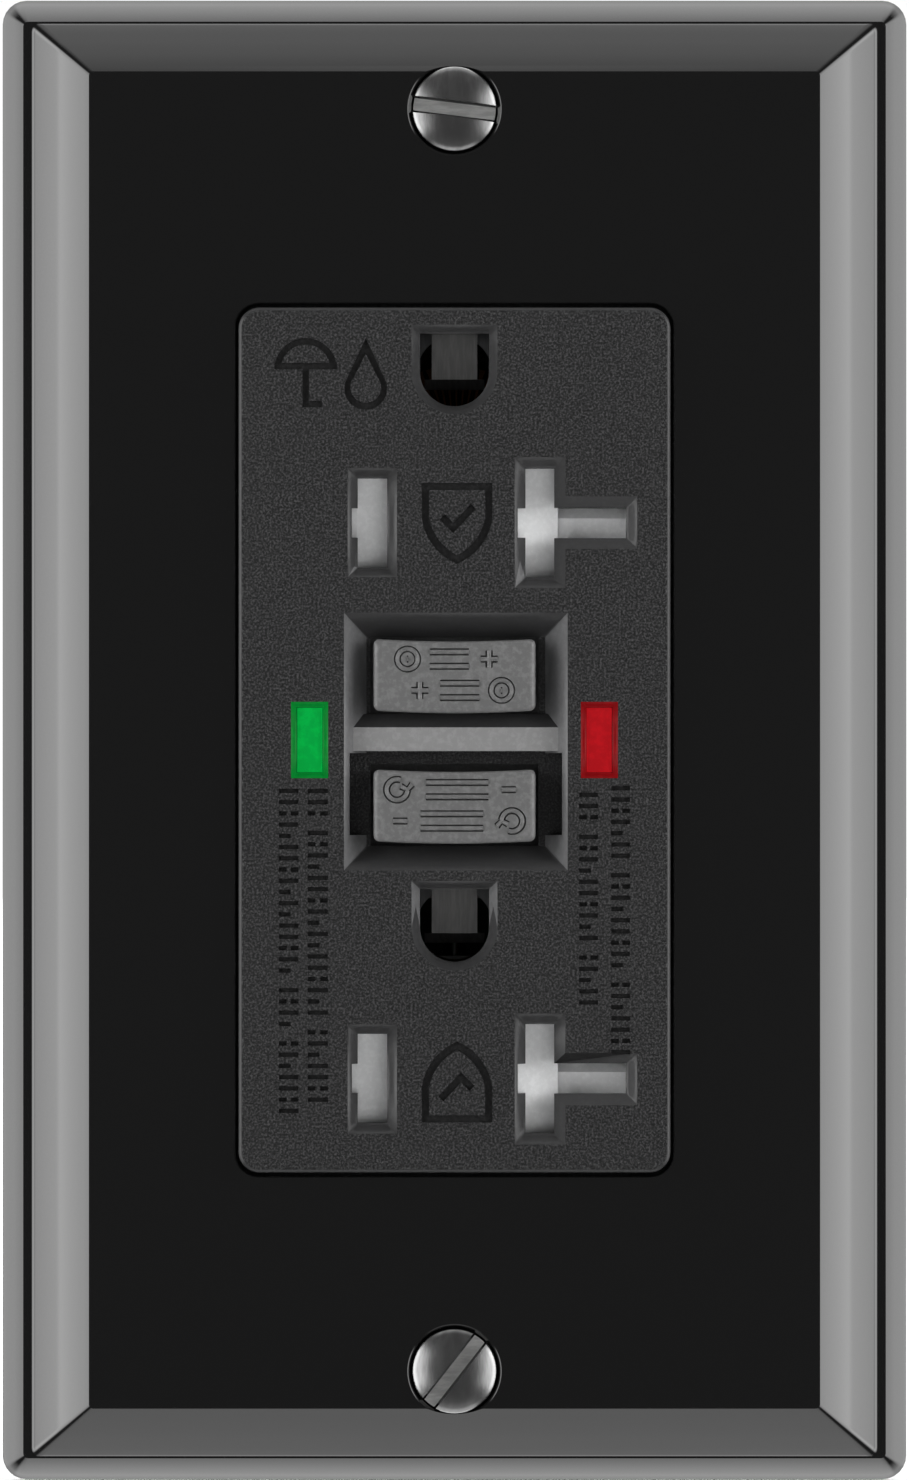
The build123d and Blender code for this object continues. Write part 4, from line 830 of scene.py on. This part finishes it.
class RECEPTACLE_OT_face(bpy.types.Operator):
    """Make the face: the moulded cover with rows of engraved ticks beside the lenses"""

    bl_idname = "receptacle.face"
    bl_label = "Face"

    def execute(self, context):
        sizes = context.scene.receptacle_face
        front = extent("front_cover")[0].y
        depth, pitch, half_tick = sizes.tick_depth / MM, sizes.tick_pitch / MM, 0.17
        # (x from, x to, z of the first tick, ticks in each word), read downwards
        rows = (
            (-11.25, -9.7, -3.9, (3, 17, 7)),
            (-13.45, -11.95, -3.9, (17, 4, 7)),
            (9.55, 11.0, -4.2, (3, 10, 5)),
            (12.0, 13.45, -3.7, (7, 9, 7)),
        )
        ticks = bmesh.new()
        for left, right, start, words in rows:
            z = start
            for word, count in enumerate(words):
                for i in range(count):
                    # of twelve ticks two are broken in two and three are short
                    mark = (i + word) % 12
                    spans = [(left, right)]
                    if mark in (2, 7):
                        spans = [(left, left + 0.6), (right - 0.6, right)]
                    elif mark in (4, 9, 11):
                        spans = [(left, left + 0.9)]
                    for a, b in spans:
                        box(ticks, (a, front - 1, z - half_tick), (b, front + depth, z + half_tick))
                    z -= pitch
                z -= pitch * 0.75
        bm = cut(node_mesh("front_cover"), ticks)
        bmesh.ops.remove_doubles(bm, verts=bm.verts, dist=1e-5)
        for face_part in bm.faces:
            middle = face_part.calc_center_median()
            # the bar's front between the buttons gets a painted reflection: face plastic painted much
            # lighter
            if abs(middle.x) < 8.5 and abs(middle.z) < 1.2 and abs(middle.y + 5.6) < 0.02:
                face_part.material_index = 1
            elif front + 0.02 < middle.y < front + depth + 0.02 and self.in_mark(middle):
                face_part.material_index = 2
            elif 0.2 < abs(face_part.normal.y) < 0.97:
                # the slanted mouths are polished by the mould's steel inserts, and their colour is painted
                # light: a painted glow round the lenses, a much lighter painted highlight on the button
                # pocket's walls, and a slightly lighter one on the other mouths
                if 9.2 < abs(middle.x) < 13.5 and abs(middle.z) < 3.9:
                    face_part.material_index = 5 if middle.x < 0 else 6
                elif abs(middle.x) < 11.5 and abs(middle.z) < 13 and abs(face_part.normal.x) > 0.3:
                    face_part.material_index = 3
                else:
                    face_part.material_index = 4
        piece = finish_piece("face_cover", bm, "device", "face_plastic",
                             ("front_cover",), 28.0, flats=True)
        for extra in (
            # the bar: a smoother satin, and a painted reflection as a colour about seven times the face's
            moulded("bar_satin", (0.18, 0.18, 0.18), 0.32, 2600.0, 0.006, 0.08),
            moulded("mark_shadow", shade(sizes.colour, 0.3), 0.6, 3300.0, 0.03, 0.35, 0.2),
            # painted highlights on the slanted walls: the button pocket's at 3.2 times the face colour, the
            # other mouths' at 1.1 times, both smoother
            moulded("pocket_satin", shade(sizes.colour, 3.2), 0.34, 2600.0, 0.006, 0.08),
            moulded("mouth_satin", shade(sizes.colour, 1.1), 0.3, 2600.0, 0.006, 0.08),
            # painted glow: the mouth walls round each lens glow green or red as though lit by the lens
            lens_surface("green_rim", shade(sizes.green, 0.6), shade(sizes.green, 0.1)),
            lens_surface("red_rim", shade(sizes.red, 0.5), shade(sizes.red, 0.1)),
        ):
            piece.data.materials.append(extra)
        return {"FINISHED"}

    def in_mark(self, point):
        """Whether a point on the face is in an engraved mark or a tick, and not in a mouth."""
        # (x, z, half width, half height) round each mark
        marks = ((-9.7, 28.2, 5.2, 3.8), (0.2, 16.6, 3.2, 3.6), (0.2, -26.2, 3.2, 3.6))
        if any(abs(point.x - x) < w and abs(point.z - z) < h for x, z, w, h in marks):
            return True
        # the ticks' field, less the lower edge of each lens mouth
        in_mouth = abs(point.x) < 12.3 and point.z > -3.4
        return 9.3 < abs(point.x) < 13.8 and -29.0 < point.z < -3.3 and not in_mouth


# strokes of the marks, drawn once and repeated turned about: (kind, values)
TEST_STROKES = (
    ("ring", (-3.6, 1.2, 0.78)),
    ("line", ((-3.66, 1.2), (-3.54, 1.2))),
    ("line", ((-1.9, 1.75), (1.1, 1.75))),
    ("line", ((-1.9, 0.65), (1.1, 0.65))),
    ("line", ((2.0, 1.2), (3.3, 1.2))),
    ("line", ((2.65, 0.55), (2.65, 1.85))),
)
RESET_STROKES = (
    ("line", tuple((-4.4 + 0.8 * cos(radians(a)), 1.2 + 0.8 * sin(radians(a))) for a in range(70, 361, 15))),
    ("line", ((-4.1, 1.45), (-3.6, 1.2), (-3.25, 1.6))),
    ("line", ((-2.2, 1.75), (2.6, 1.75))),
    ("line", ((-2.2, 0.65), (2.6, 0.65))),
    ("line", ((3.6, 1.2), (4.7, 1.2))),
)


def stroke(kind, values, height, depth, radius, turn):
    """One stroke of a button's mark, as a round bead whose middle lies at Y = depth."""
    bm = bmesh.new()
    sign = cos(radians(turn))
    if kind == "ring":
        x, z, ring = values
        section = [(ring + radius * cos(tau * i / 8), radius * sin(tau * i / 8)) for i in range(9)]
        turned(bm, section, placed((sign * x, depth, height + sign * z), "Y"), 28)
        bmesh.ops.remove_doubles(bm, verts=bm.verts, dist=1e-5)
    else:
        path = [(sign * x, depth, height + sign * z) for x, z in values]
        wire(bm, path, radius, 10)
    return bm


def divided(ring, steps=10):
    """The ring with its two long edges divided, so that they can curve."""
    count = len(ring)
    out = []
    for i, point in enumerate(ring):
        out.append(point)
        after = ring[(i + 1) % count]
        if abs(after[0] - point[0]) > 4:
            for k in range(1, steps):
                t = k / steps
                out.append(tuple(point[j] + (after[j] - point[j]) * t for j in range(3)))
    return out


class RECEPTACLE_OT_buttons(bpy.types.Operator):
    """Make the two buttons: dished caps with beaded marks in grooves, flanges and stems"""

    bl_idname = "receptacle.buttons"
    bl_label = "Buttons"

    def execute(self, context):
        # node, height, front, flange back, strokes
        for node, height, front, back, strokes in (
            ("test_button", 5.0, -6.75, -2.5, TEST_STROKES),
            ("reset_button", -5.0, -7.0, -0.9, RESET_STROKES),
        ):
            half_w, half_h = 6.2, 2.75
            rows = []
            # inset and depth of each ring, from the flange to the front
            for inset, depth in (
                (0, back - 0.6), (0, front + 0.45), (0.03, front + 0.28), (0.13, front + 0.12),
                (0.28, front + 0.03), (0.45, front),
            ):
                corner = max(0.45 - inset * 0.5, 0.2)
                ring = divided(rounded_ring(half_w - inset, half_h - inset, corner, depth, 5))
                rows.append([
                    (x, y, height + z - 0.2 * (1 - (x / half_w) ** 2)) for x, y, z in ring
                ])
            cap = bmesh.new()
            made = skin(cap, rows)
            cap.faces.new(list(reversed(made[0])))
            cap.faces.new(made[-1])
            base = bmesh.new()
            box(base, (-7.1, back - 0.6, height - 3.4), (7.1, back, height + 3.4))
            cap = cut(cap, base, "UNION")
            beads = bmesh.new()
            for turn in (0, 180):
                for kind, values in strokes:
                    groove = stroke(kind, values, height, front - 0.12, 0.31, turn)
                    for face_part in groove.faces:
                        face_part.material_index = 1
                    cap = cut(cap, groove)
                    joined(beads, stroke(kind, values, height, front + 0.05, 0.17, turn))
            joined(cap, beads)
            if node == "test_button":
                stem = bmesh.new()
                turned(stem, [(0, back - 0.2), (1.5, back - 0.2), (1.5, 1.8), (1.3, 2.0), (0, 2.0)],
                       placed((0, 0, height), "Y"), 32)
                joined(cap, stem)
            body = frame["nodes"][node]["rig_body"]
            piece = finish_piece(f"{node}_cap", cap, body, "button_plastic", (node,), 32.0, True)
            groove_colour = shade(context.scene.receptacle_face.button_colour, 0.22)
            piece.data.materials.append(
                moulded("groove_shadow", groove_colour, 0.5, 2600.0, 0.01, 0.1))
        return {"FINISHED"}


def helix(radius, start, end, turns, place, dead=1.0, steps=20):
    """Points of a compression spring along a turned axis, with close end coils."""
    count = int(turns * steps)
    points = []
    for i in range(count + 1):
        t = i / count
        turn = t * turns
        if turn < dead:
            along = 0.06 * turn / dead
        elif turn > turns - dead:
            along = 1 - 0.06 * (turns - turn) / dead
        else:
            along = 0.06 + 0.88 * (turn - dead) / (turns - 2 * dead)
        a = tau * turn
        points.append(place @ Vector((radius * cos(a), radius * sin(a), start + (end - start) * along)))
    return points


class RECEPTACLE_OT_springs(bpy.types.Operator):
    """Wind the springs of the buttons, the latch, the plunger, the shutters and the gates"""

    bl_idname = "receptacle.springs"
    bl_label = "Springs"

    def execute(self, context):
        # node, axis, sense of the motion that shortens it, the body it pushes, wire radius, turns
        springs = (
            ("reset_spring", "Y", 1, "reset_stem", 0.24, 10.0),
            ("latch_plate_spring", "Z", 1, "latch_plate", 0.16, 5.5),
            ("plunger_spring", "Z", 1, "plunger", 0.165, 7.5),
            ("upper_shutter_spring", "X", -1, "upper_shutter", 0.12, 10.0),
            ("lower_shutter_spring", "X", -1, "lower_shutter", 0.12, 10.0),
            ("upper_gate_spring", "Z", -1, "upper_gate", 0.105, 8.0),
            ("lower_gate_spring", "Z", -1, "lower_gate", 0.105, 8.0),
        )
        for node, axis, sense, pushed, wire_r, turns in springs:
            low, high = extent(node)
            middle = (low + high) / 2
            index = "XYZ".index(axis)
            origin = Vector(middle)
            origin[index] = 0
            outer = (high - low)[(index + 1) % 3] / 2
            path = helix(outer - wire_r, low[index] + wire_r, high[index] - wire_r, turns,
                         placed(origin, axis))
            bm = bmesh.new()
            wire(bm, path, wire_r, 8)
            # fixed and moving ends of the spring, which finish_piece does not use
            fixed_end, moving_end = Vector(middle), Vector(middle)
            fixed_end[index], moving_end[index] = low[index] + 2 * wire_r, high[index] - 2 * wire_r
            if sense > 0:
                fixed_end, moving_end = moving_end, fixed_end
            bend = (frame["nodes"][node]["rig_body"], pushed, fixed_end * MM, moving_end * MM)
            finish_piece(f"{node}_wire", bm, bend, "spring_steel", (node,), 60.0)
        self.test_leaf()
        return {"FINISHED"}

    def test_leaf(self):
        """The leaf under the test button, with the rivet that fixes it; in the device the button's stem
        bends it, but this piece does not bend.
        """
        low, high = extent("test_leaf")
        back, front = high.y, high.y - 0.3
        bm = bmesh.new()
        rows = []
        for i in range(34):
            x = low.x + (high.x - low.x) * i / 33
            rows.append([(x, front, low.z), (x, back, low.z), (x, back, high.z), (x, front, high.z)])
        made = skin(bm, rows)
        bm.faces.new(list(reversed(made[0])))
        bm.faces.new(made[-1])
        middle_z = (low.z + high.z) / 2
        turned(bm, [(0, low.y), (0.6, low.y), (0.8, low.y + 0.12), (0.8, front), (0, front)],
               placed((-6.9, 0, middle_z), "Y"), 24)
        slot = "contact_brass"
        rivet_end, stem_end = (Vector((x, back, middle_z)) * MM for x in (-6.0, -1.4))
        bend = ("device", "test_button", rivet_end, stem_end)
        finish_piece("test_leaf_strip", bm, bend, slot, ("test_leaf",), 30.0)


class RECEPTACLE_OT_windings(bpy.types.Operator):
    """Wind the solenoid and both current transformers"""

    bl_idname = "receptacle.windings"
    bl_label = "Windings"

    def execute(self, context):
        low, high = extent("solenoid_coil")
        middle = (low + high) / 2
        outer, start, end = (high.x - low.x) / 2, low.z, high.z
        pitch = 0.36
        bm = bmesh.new()
        turned(bm, [(2.62, start), (outer - 0.15, start), (outer, start + 0.1), (outer, end - 0.1),
                    (outer - 0.15, end), (2.62, end), (2.62, start)],
               placed((middle.x, middle.y, 0), "Z"), 48, (start, end, outer - 0.14, pitch))
        finish_piece("solenoid_winding", bm, "device", "winding_copper", ("solenoid_coil",), 80.0)
        for node, turns in (("sense_toroid", 66), ("neutral_toroid", 54)):
            low, high = extent(node)
            middle = (low + high) / 2
            outer, hole, wire_r = (high.x - low.x) / 2, 3.5, 0.17
            mean, half_r = (outer + hole) / 2, (outer - hole) / 2 - wire_r
            half_y = (high.y - low.y) / 2 - wire_r
            bm = bmesh.new()
            path = []
            steps = 12
            for i in range(turns * steps):
                around, roll = tau * i / (turns * steps), tau * i / steps
                # the section is a rounded square, so the wire lies flat on the core
                reach = 1.0 / max(abs(cos(roll)) ** 4 + abs(sin(roll)) ** 4, 1e-6) ** 0.25
                radial = mean + half_r * reach * cos(roll)
                y = middle.y + half_y * reach * sin(roll)
                path.append((middle.x + radial * cos(around), y, middle.z + radial * sin(around)))
            wire(bm, path, wire_r, 6)
            core_in, core_out, core_y = hole + 0.45, outer - 0.45, half_y - 0.25
            core = [(core_in, -core_y), (core_out, -core_y), (core_out, core_y), (core_in, core_y),
                    (core_in, -core_y)]
            turned(bm, core, placed(middle, "Y"), 48)
            bmesh.ops.remove_doubles(bm, verts=bm.verts, dist=1e-5)
            finish_piece(f"{node}_winding", bm, "device", "winding_copper", (node,), 60.0)
        return {"FINISHED"}


def cross_cut(screw, place, width, short, start, reach):
    """Cuts a combination slot in a head whose front is at start along the axis."""
    slots = bmesh.new()
    for wide, tall in ((9.0, width), (width, short)):
        shape = bmesh.new()
        box(shape, (-wide / 2, -tall / 2, start - 2.0), (wide / 2, tall / 2, start + reach))
        bmesh.ops.transform(shape, matrix=place, verts=shape.verts)
        slots = cut(slots, shape, "UNION") if len(slots.faces) else shape
    return cut(screw, slots)


class RECEPTACLE_OT_device_screws(bpy.types.Operator):
    """Make the box, terminal, housing and ground screws"""

    bl_idname = "receptacle.device_screws"
    bl_label = "Device screws"

    def execute(self, context):
        pitch = context.scene.receptacle_plate.thread_pitch / MM
        low, high = extent("box_screws")
        pair = bmesh.new()
        for height in (BOX_SCREW_Z, -BOX_SCREW_Z):
            place = placed((0, 0, height), "Y")
            crown = [(3.3 * i / 8, low.y + 1.0 * (i / 8) ** 2.4) for i in range(1, 9)]
            screw = bmesh.new()
            turned(screw, [
                (0, low.y), *crown, (3.4, low.y + 1.12), (3.4, -1.8), (3.3, -1.7), (1.4, -1.7), (1.4, 0.0),
                (1.75, 0.25), (1.75, high.y - 0.8), (1.2, high.y), (0, high.y),
            ], place, 48, (0.2, high.y - 0.7, 1.33, pitch))
            joined(pair, cross_cut(screw, place, 1.1, 4.4, low.y, 0.95))
        finish_piece("box_screw_pair", pair, "device", "screw_steel", ("box_screws",))

        for end in ("line", "load"):
            for pole, metal_slot, sign in (("hot", "terminal_brass", -1), ("neutral", "terminal_nickel", 1)):
                node = f"{end}_{pole}_screw"
                low, high = extent(node)
                middle = (low + high) / 2
                tip = max(abs(low.x), abs(high.x))
                foot = min(abs(low.x), abs(high.x))
                # drawn from the head's face inwards
                place = placed((sign * tip, middle.y, middle.z), "-X" if sign > 0 else "X")
                head = tip - 18.7
                screw = bmesh.new()
                turned(screw, [
                    (0, 0), (3.05, 0.02), (3.35, 0.1), (3.54, 0.28), (3.6, 0.55), (3.6, head - 0.25),
                    (3.45, head), (1.9, head), (1.9, tip - foot - 0.2), (1.7, tip - foot), (0, tip - foot),
                ], place, 48, (head, tip - foot - 0.2, 1.5, pitch))
                screw = cross_cut(screw, place, 1.1, 4.6, 0.0, 1.0)
                finish_piece(f"{node}_turned", screw, f"{end}_{pole}_terminal", metal_slot, (node,))

        low, high = extent("housing_screws")
        four = bmesh.new()
        for x in (15.9, -15.9):
            for z in (30.4, -30.4):
                place = placed((x, high.y, z), "-Y")
                length = high.y - low.y
                screw = bmesh.new()
                turned(screw, [
                    (0, 0), (2.0, 0.03), (2.2, 0.12), (2.3, 0.32), (2.3, 0.95), (1.25, 1.0),
                    (1.25, length - 0.7), (0.5, length), (0, length),
                ], place, 32, (1.0, length - 0.7, 0.98, 1.1))
                joined(four, cross_cut(screw, place, 0.7, 3.0, 0.0, 0.6))
        finish_piece("housing_screw_set", four, "device", "screw_steel", ("housing_screws",))

        low, high = extent("ground_screw")
        axis_x, axis_y = -7.0, 5.0
        place = placed((axis_x, axis_y, low.z), "Z")
        head, flange, length = 1.9, 2.7, high.z - low.z
        screw, corners = bmesh.new(), bmesh.new()
        turned(screw, [
            (0, 0.0), (3.0, 0.02), (3.95, 0.42), (4.1, 0.6), (4.1, head), (4.0, head), (4.0, flange - 0.15),
            (3.85, flange), (1.9, flange), (1.9, length - 0.3), (1.6, length), (0, length),
        ], place, 72, (flange, length - 0.3, 1.48, pitch))
        for i in range(6):
            turn = Matrix.Rotation(radians(60 * i), 3, "Z")
            box(corners, (axis_x + 3.6, axis_y - 4, low.z - 1), (axis_x + 8, axis_y + 4, low.z + head),
                turn, (axis_x, axis_y, 0))
        screw = cut(screw, corners)
        slots = bmesh.new()
        box(slots, (axis_x - 6, axis_y - 0.6, low.z - 1), (axis_x + 6, axis_y + 0.6, low.z + 1.1))
        screw = cut(screw, slots)
        finish_piece("ground_screw_hex", screw, "device", "ground_screw_paint", ("ground_screw",))
        return {"FINISHED"}


class RECEPTACLE_OT_finish_nodes(bpy.types.Operator):
    """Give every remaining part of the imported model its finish"""

    bl_idname = "receptacle.finish_nodes"
    bl_label = "Finishes"

    def execute(self, context):
        slots = {m["slot"] for m in frame["record"]["materials"]}
        for name, node in sorted(frame["nodes"].items()):
            for holder in node.material_slots:
                slot = holder.material.name.split(".")[0]
                if slot not in slots:
                    raise RuntimeError(f"{name} has no finish: {slot}")
                holder.material = finish_for(slot)
        return {"FINISHED"}


def softbox(name, place, aim, width, height, radiance):
    """Area lamp of a given radiance, not seen directly."""
    data = bpy.data.lights.new(name, "AREA")
    data.shape = "RECTANGLE"
    data.size, data.size_y = width, height
    data.energy = radiance * pi * width * height
    lamp = bpy.data.objects.new(name, data)
    bpy.context.scene.collection.objects.link(lamp)
    lamp.location = place
    lamp.rotation_mode = "QUATERNION"
    lamp.rotation_quaternion = (Vector(aim) - Vector(place)).to_track_quat("-Z", "Y")
    lamp.visible_camera = False
    lamp.visible_glossy = False
    return lamp


def room_ramp(tree, position, stops, top):
    """Radiance by angle from straight in front: stops are (degrees, radiance), top the most of all."""
    ramp = tree.nodes.new("ShaderNodeValToRGB")
    tree.links.new(position, ramp.inputs["Fac"])
    elements = ramp.color_ramp.elements
    while len(elements) < len(stops):
        elements.new(0.5)
    for element, (angle, radiance) in zip(elements, stops):
        element.position = (1 - cos(radians(angle))) / 2
        element.color = (*(radiance / top,) * 3, 1.0)
    return ramp.outputs["Color"]


class RECEPTACLE_OT_stage(bpy.types.Operator):
    """Set up the pale floor, the soft boxes, the room's light and the camera"""

    bl_idname = "receptacle.stage"
    bl_label = "Stage"

    def execute(self, context):
        scene = context.scene
        stage = scene.receptacle_stage
        low = extent("wall_plate")[0]
        bm = bmesh.new()
        bmesh.ops.create_grid(bm, x_segments=8, y_segments=8, size=stage.floor_size)
        mesh = bpy.data.meshes.new("floor")
        bm.to_mesh(mesh)
        bm.free()
        ground = bpy.data.objects.new("floor", mesh)
        scene.collection.objects.link(ground)
        ground.location.z = (low.z - 0.05) * MM
        mesh.materials.append(floor_surface())
        ground.visible_glossy = False

        aim = (0, 0, 0)
        for side, name in ((-1, "left_box"), (1, "right_box")):
            softbox(name, (side * 1.25, -0.5, 0.0), aim, 0.7, 2.2, stage.side_light)
        softbox("back_box", (0, 1.4, 1.6), (0, 1.0, 0), 3.0, 2.4, stage.back_light)

        world = bpy.data.worlds.new("room")
        scene.world = world
        world.use_nodes = True
        tree = world.node_tree
        background = tree.nodes["Background"]
        split = tree.nodes.new("ShaderNodeSeparateXYZ")
        tree.links.new(tree.nodes.new("ShaderNodeTexCoord").outputs["Generated"], split.inputs[0])
        # dark straight in front, bright at the sides, dimmer above and below, and dark in between
        front, bright = stage.front_light, stage.room_light
        position = ranged(tree, split.outputs["Y"], -1.0, 1.0, 0.0, 1.0)
        position.node.interpolation_type = "LINEAR"
        squares = [math_node(tree, "MULTIPLY", split.outputs[c], split.outputs[c]) for c in ("X", "Z")]
        across = math_node(tree, "SQRT", math_node(tree, "ADD", *squares))
        sideways = math_node(tree, "DIVIDE", math_node(tree, "ABSOLUTE", split.outputs["X"]), across)
        upwards = math_node(tree, "DIVIDE", split.outputs["Z"], across)
        sides = room_ramp(tree, position, (
            (30, front), (44, 1.2), (57, 1.6), (61, 2.0), (68, 2.45), (71.5, 2.8), (73.5, 2.45), (77.5, 2.0),
            (82, 1.5), (96, 1.8), (120, 1.6), (156, 0.6)), bright)
        above = room_ramp(tree, position, (
            (50, front), (60, 0.2), (68, 0.38), (72, 0.48), (76, 0.58), (85, 0.64), (87, 0.85), (91, 1.2),
            (96, 1.54), (105, 2.0), (130, 1.1), (156, 0.6)), bright)
        below = room_ramp(tree, position, (
            (48, front), (57, 0.6), (68, 0.72), (85, 0.78), (87, 0.9), (91, 1.15), (96, 1.5), (105, 1.95),
            (130, 1.1), (156, 0.6)), bright)
        corners = room_ramp(tree, position, (
            (30, front), (92, front), (106, 1.3), (156, 0.6)), bright)
        room = mixed(tree, ranged(tree, sideways, 0.78, 0.93, 0.0, 1.0), corners, sides)
        room = mixed(tree, ranged(tree, upwards, 0.78, 0.93, 0.0, 1.0), room, above)
        room = mixed(tree, ranged(tree, upwards, -0.93, -0.78, 1.0, 0.0), room, below)
        lit = tree.nodes.new("ShaderNodeVectorMath")
        lit.operation = "SCALE"
        tree.links.new(room, lit.inputs[0])
        lit.inputs["Scale"].default_value = bright
        room = lit.outputs[0]
        seen = tree.nodes.new("ShaderNodeLightPath").outputs["Is Camera Ray"]
        tree.links.new(mixed(tree, seen, room, (1.0, 1.0, 1.0)), background.inputs["Color"])

        camera = bpy.data.cameras.new("camera")
        camera.lens = camera.sensor_width * stage.distance / stage.view_height
        eye = bpy.data.objects.new("camera", camera)
        scene.collection.objects.link(eye)
        eye.location = (0, -stage.distance, 0)
        eye.rotation_euler = (pi / 2, 0, 0)
        camera.clip_start, camera.clip_end = 0.05, 20.0
        scene.camera = eye
        scene.view_settings.view_transform = "Standard"
        return {"FINISHED"}


class RECEPTACLE_PT_sidebar(bpy.types.Panel):
    """Sizes, colours and makers of the receptacle"""

    bl_label = "Receptacle"
    bl_idname = "RECEPTACLE_PT_sidebar"
    bl_space_type = "VIEW_3D"
    bl_region_type = "UI"
    bl_category = "Receptacle"

    def draw(self, context):
        layout = self.layout
        for title in ("Plate", "Face", "Metals", "Stage"):
            group = getattr(context.scene, f"receptacle_{title.lower()}")
            box_layout = layout.box()
            box_layout.label(text=title)
            for key in group.__annotations__:
                box_layout.prop(group, key)
        for operator in OPERATORS:
            layout.operator(operator.bl_idname)


SETTINGS = (
    ("receptacle_plate", PlateSettings),
    ("receptacle_face", FaceSettings),
    ("receptacle_metals", MetalSettings),
    ("receptacle_stage", StageSettings),
)
OPERATORS = (
    RECEPTACLE_OT_wall_plate,
    RECEPTACLE_OT_plate_screws,
    RECEPTACLE_OT_face,
    RECEPTACLE_OT_buttons,
    RECEPTACLE_OT_springs,
    RECEPTACLE_OT_windings,
    RECEPTACLE_OT_device_screws,
    RECEPTACLE_OT_finish_nodes,
    RECEPTACLE_OT_stage,
)


def register():
    """Registers the settings, the makers and the panel."""
    for key, group in SETTINGS:
        bpy.utils.register_class(group)
        setattr(bpy.types.Scene, key, PointerProperty(type=group))
    for operator in OPERATORS:
        bpy.utils.register_class(operator)
    bpy.utils.register_class(RECEPTACLE_PT_sidebar)


def unregister():
    """Takes them away again."""
    bpy.utils.unregister_class(RECEPTACLE_PT_sidebar)
    for operator in reversed(OPERATORS):
        bpy.utils.unregister_class(operator)
    for key, group in reversed(SETTINGS):
        delattr(bpy.types.Scene, key)
        bpy.utils.unregister_class(group)


def main():
    """Makes every piece and the stage."""
    register()
    bpy.ops.receptacle.wall_plate()
    bpy.ops.receptacle.plate_screws()
    bpy.ops.receptacle.face()
    bpy.ops.receptacle.buttons()
    bpy.ops.receptacle.springs()
    bpy.ops.receptacle.windings()
    bpy.ops.receptacle.device_screws()
    bpy.ops.receptacle.finish_nodes()
    bpy.ops.receptacle.stage()
    bpy.context.view_layer.update()


if __name__ == "__main__":
    main()
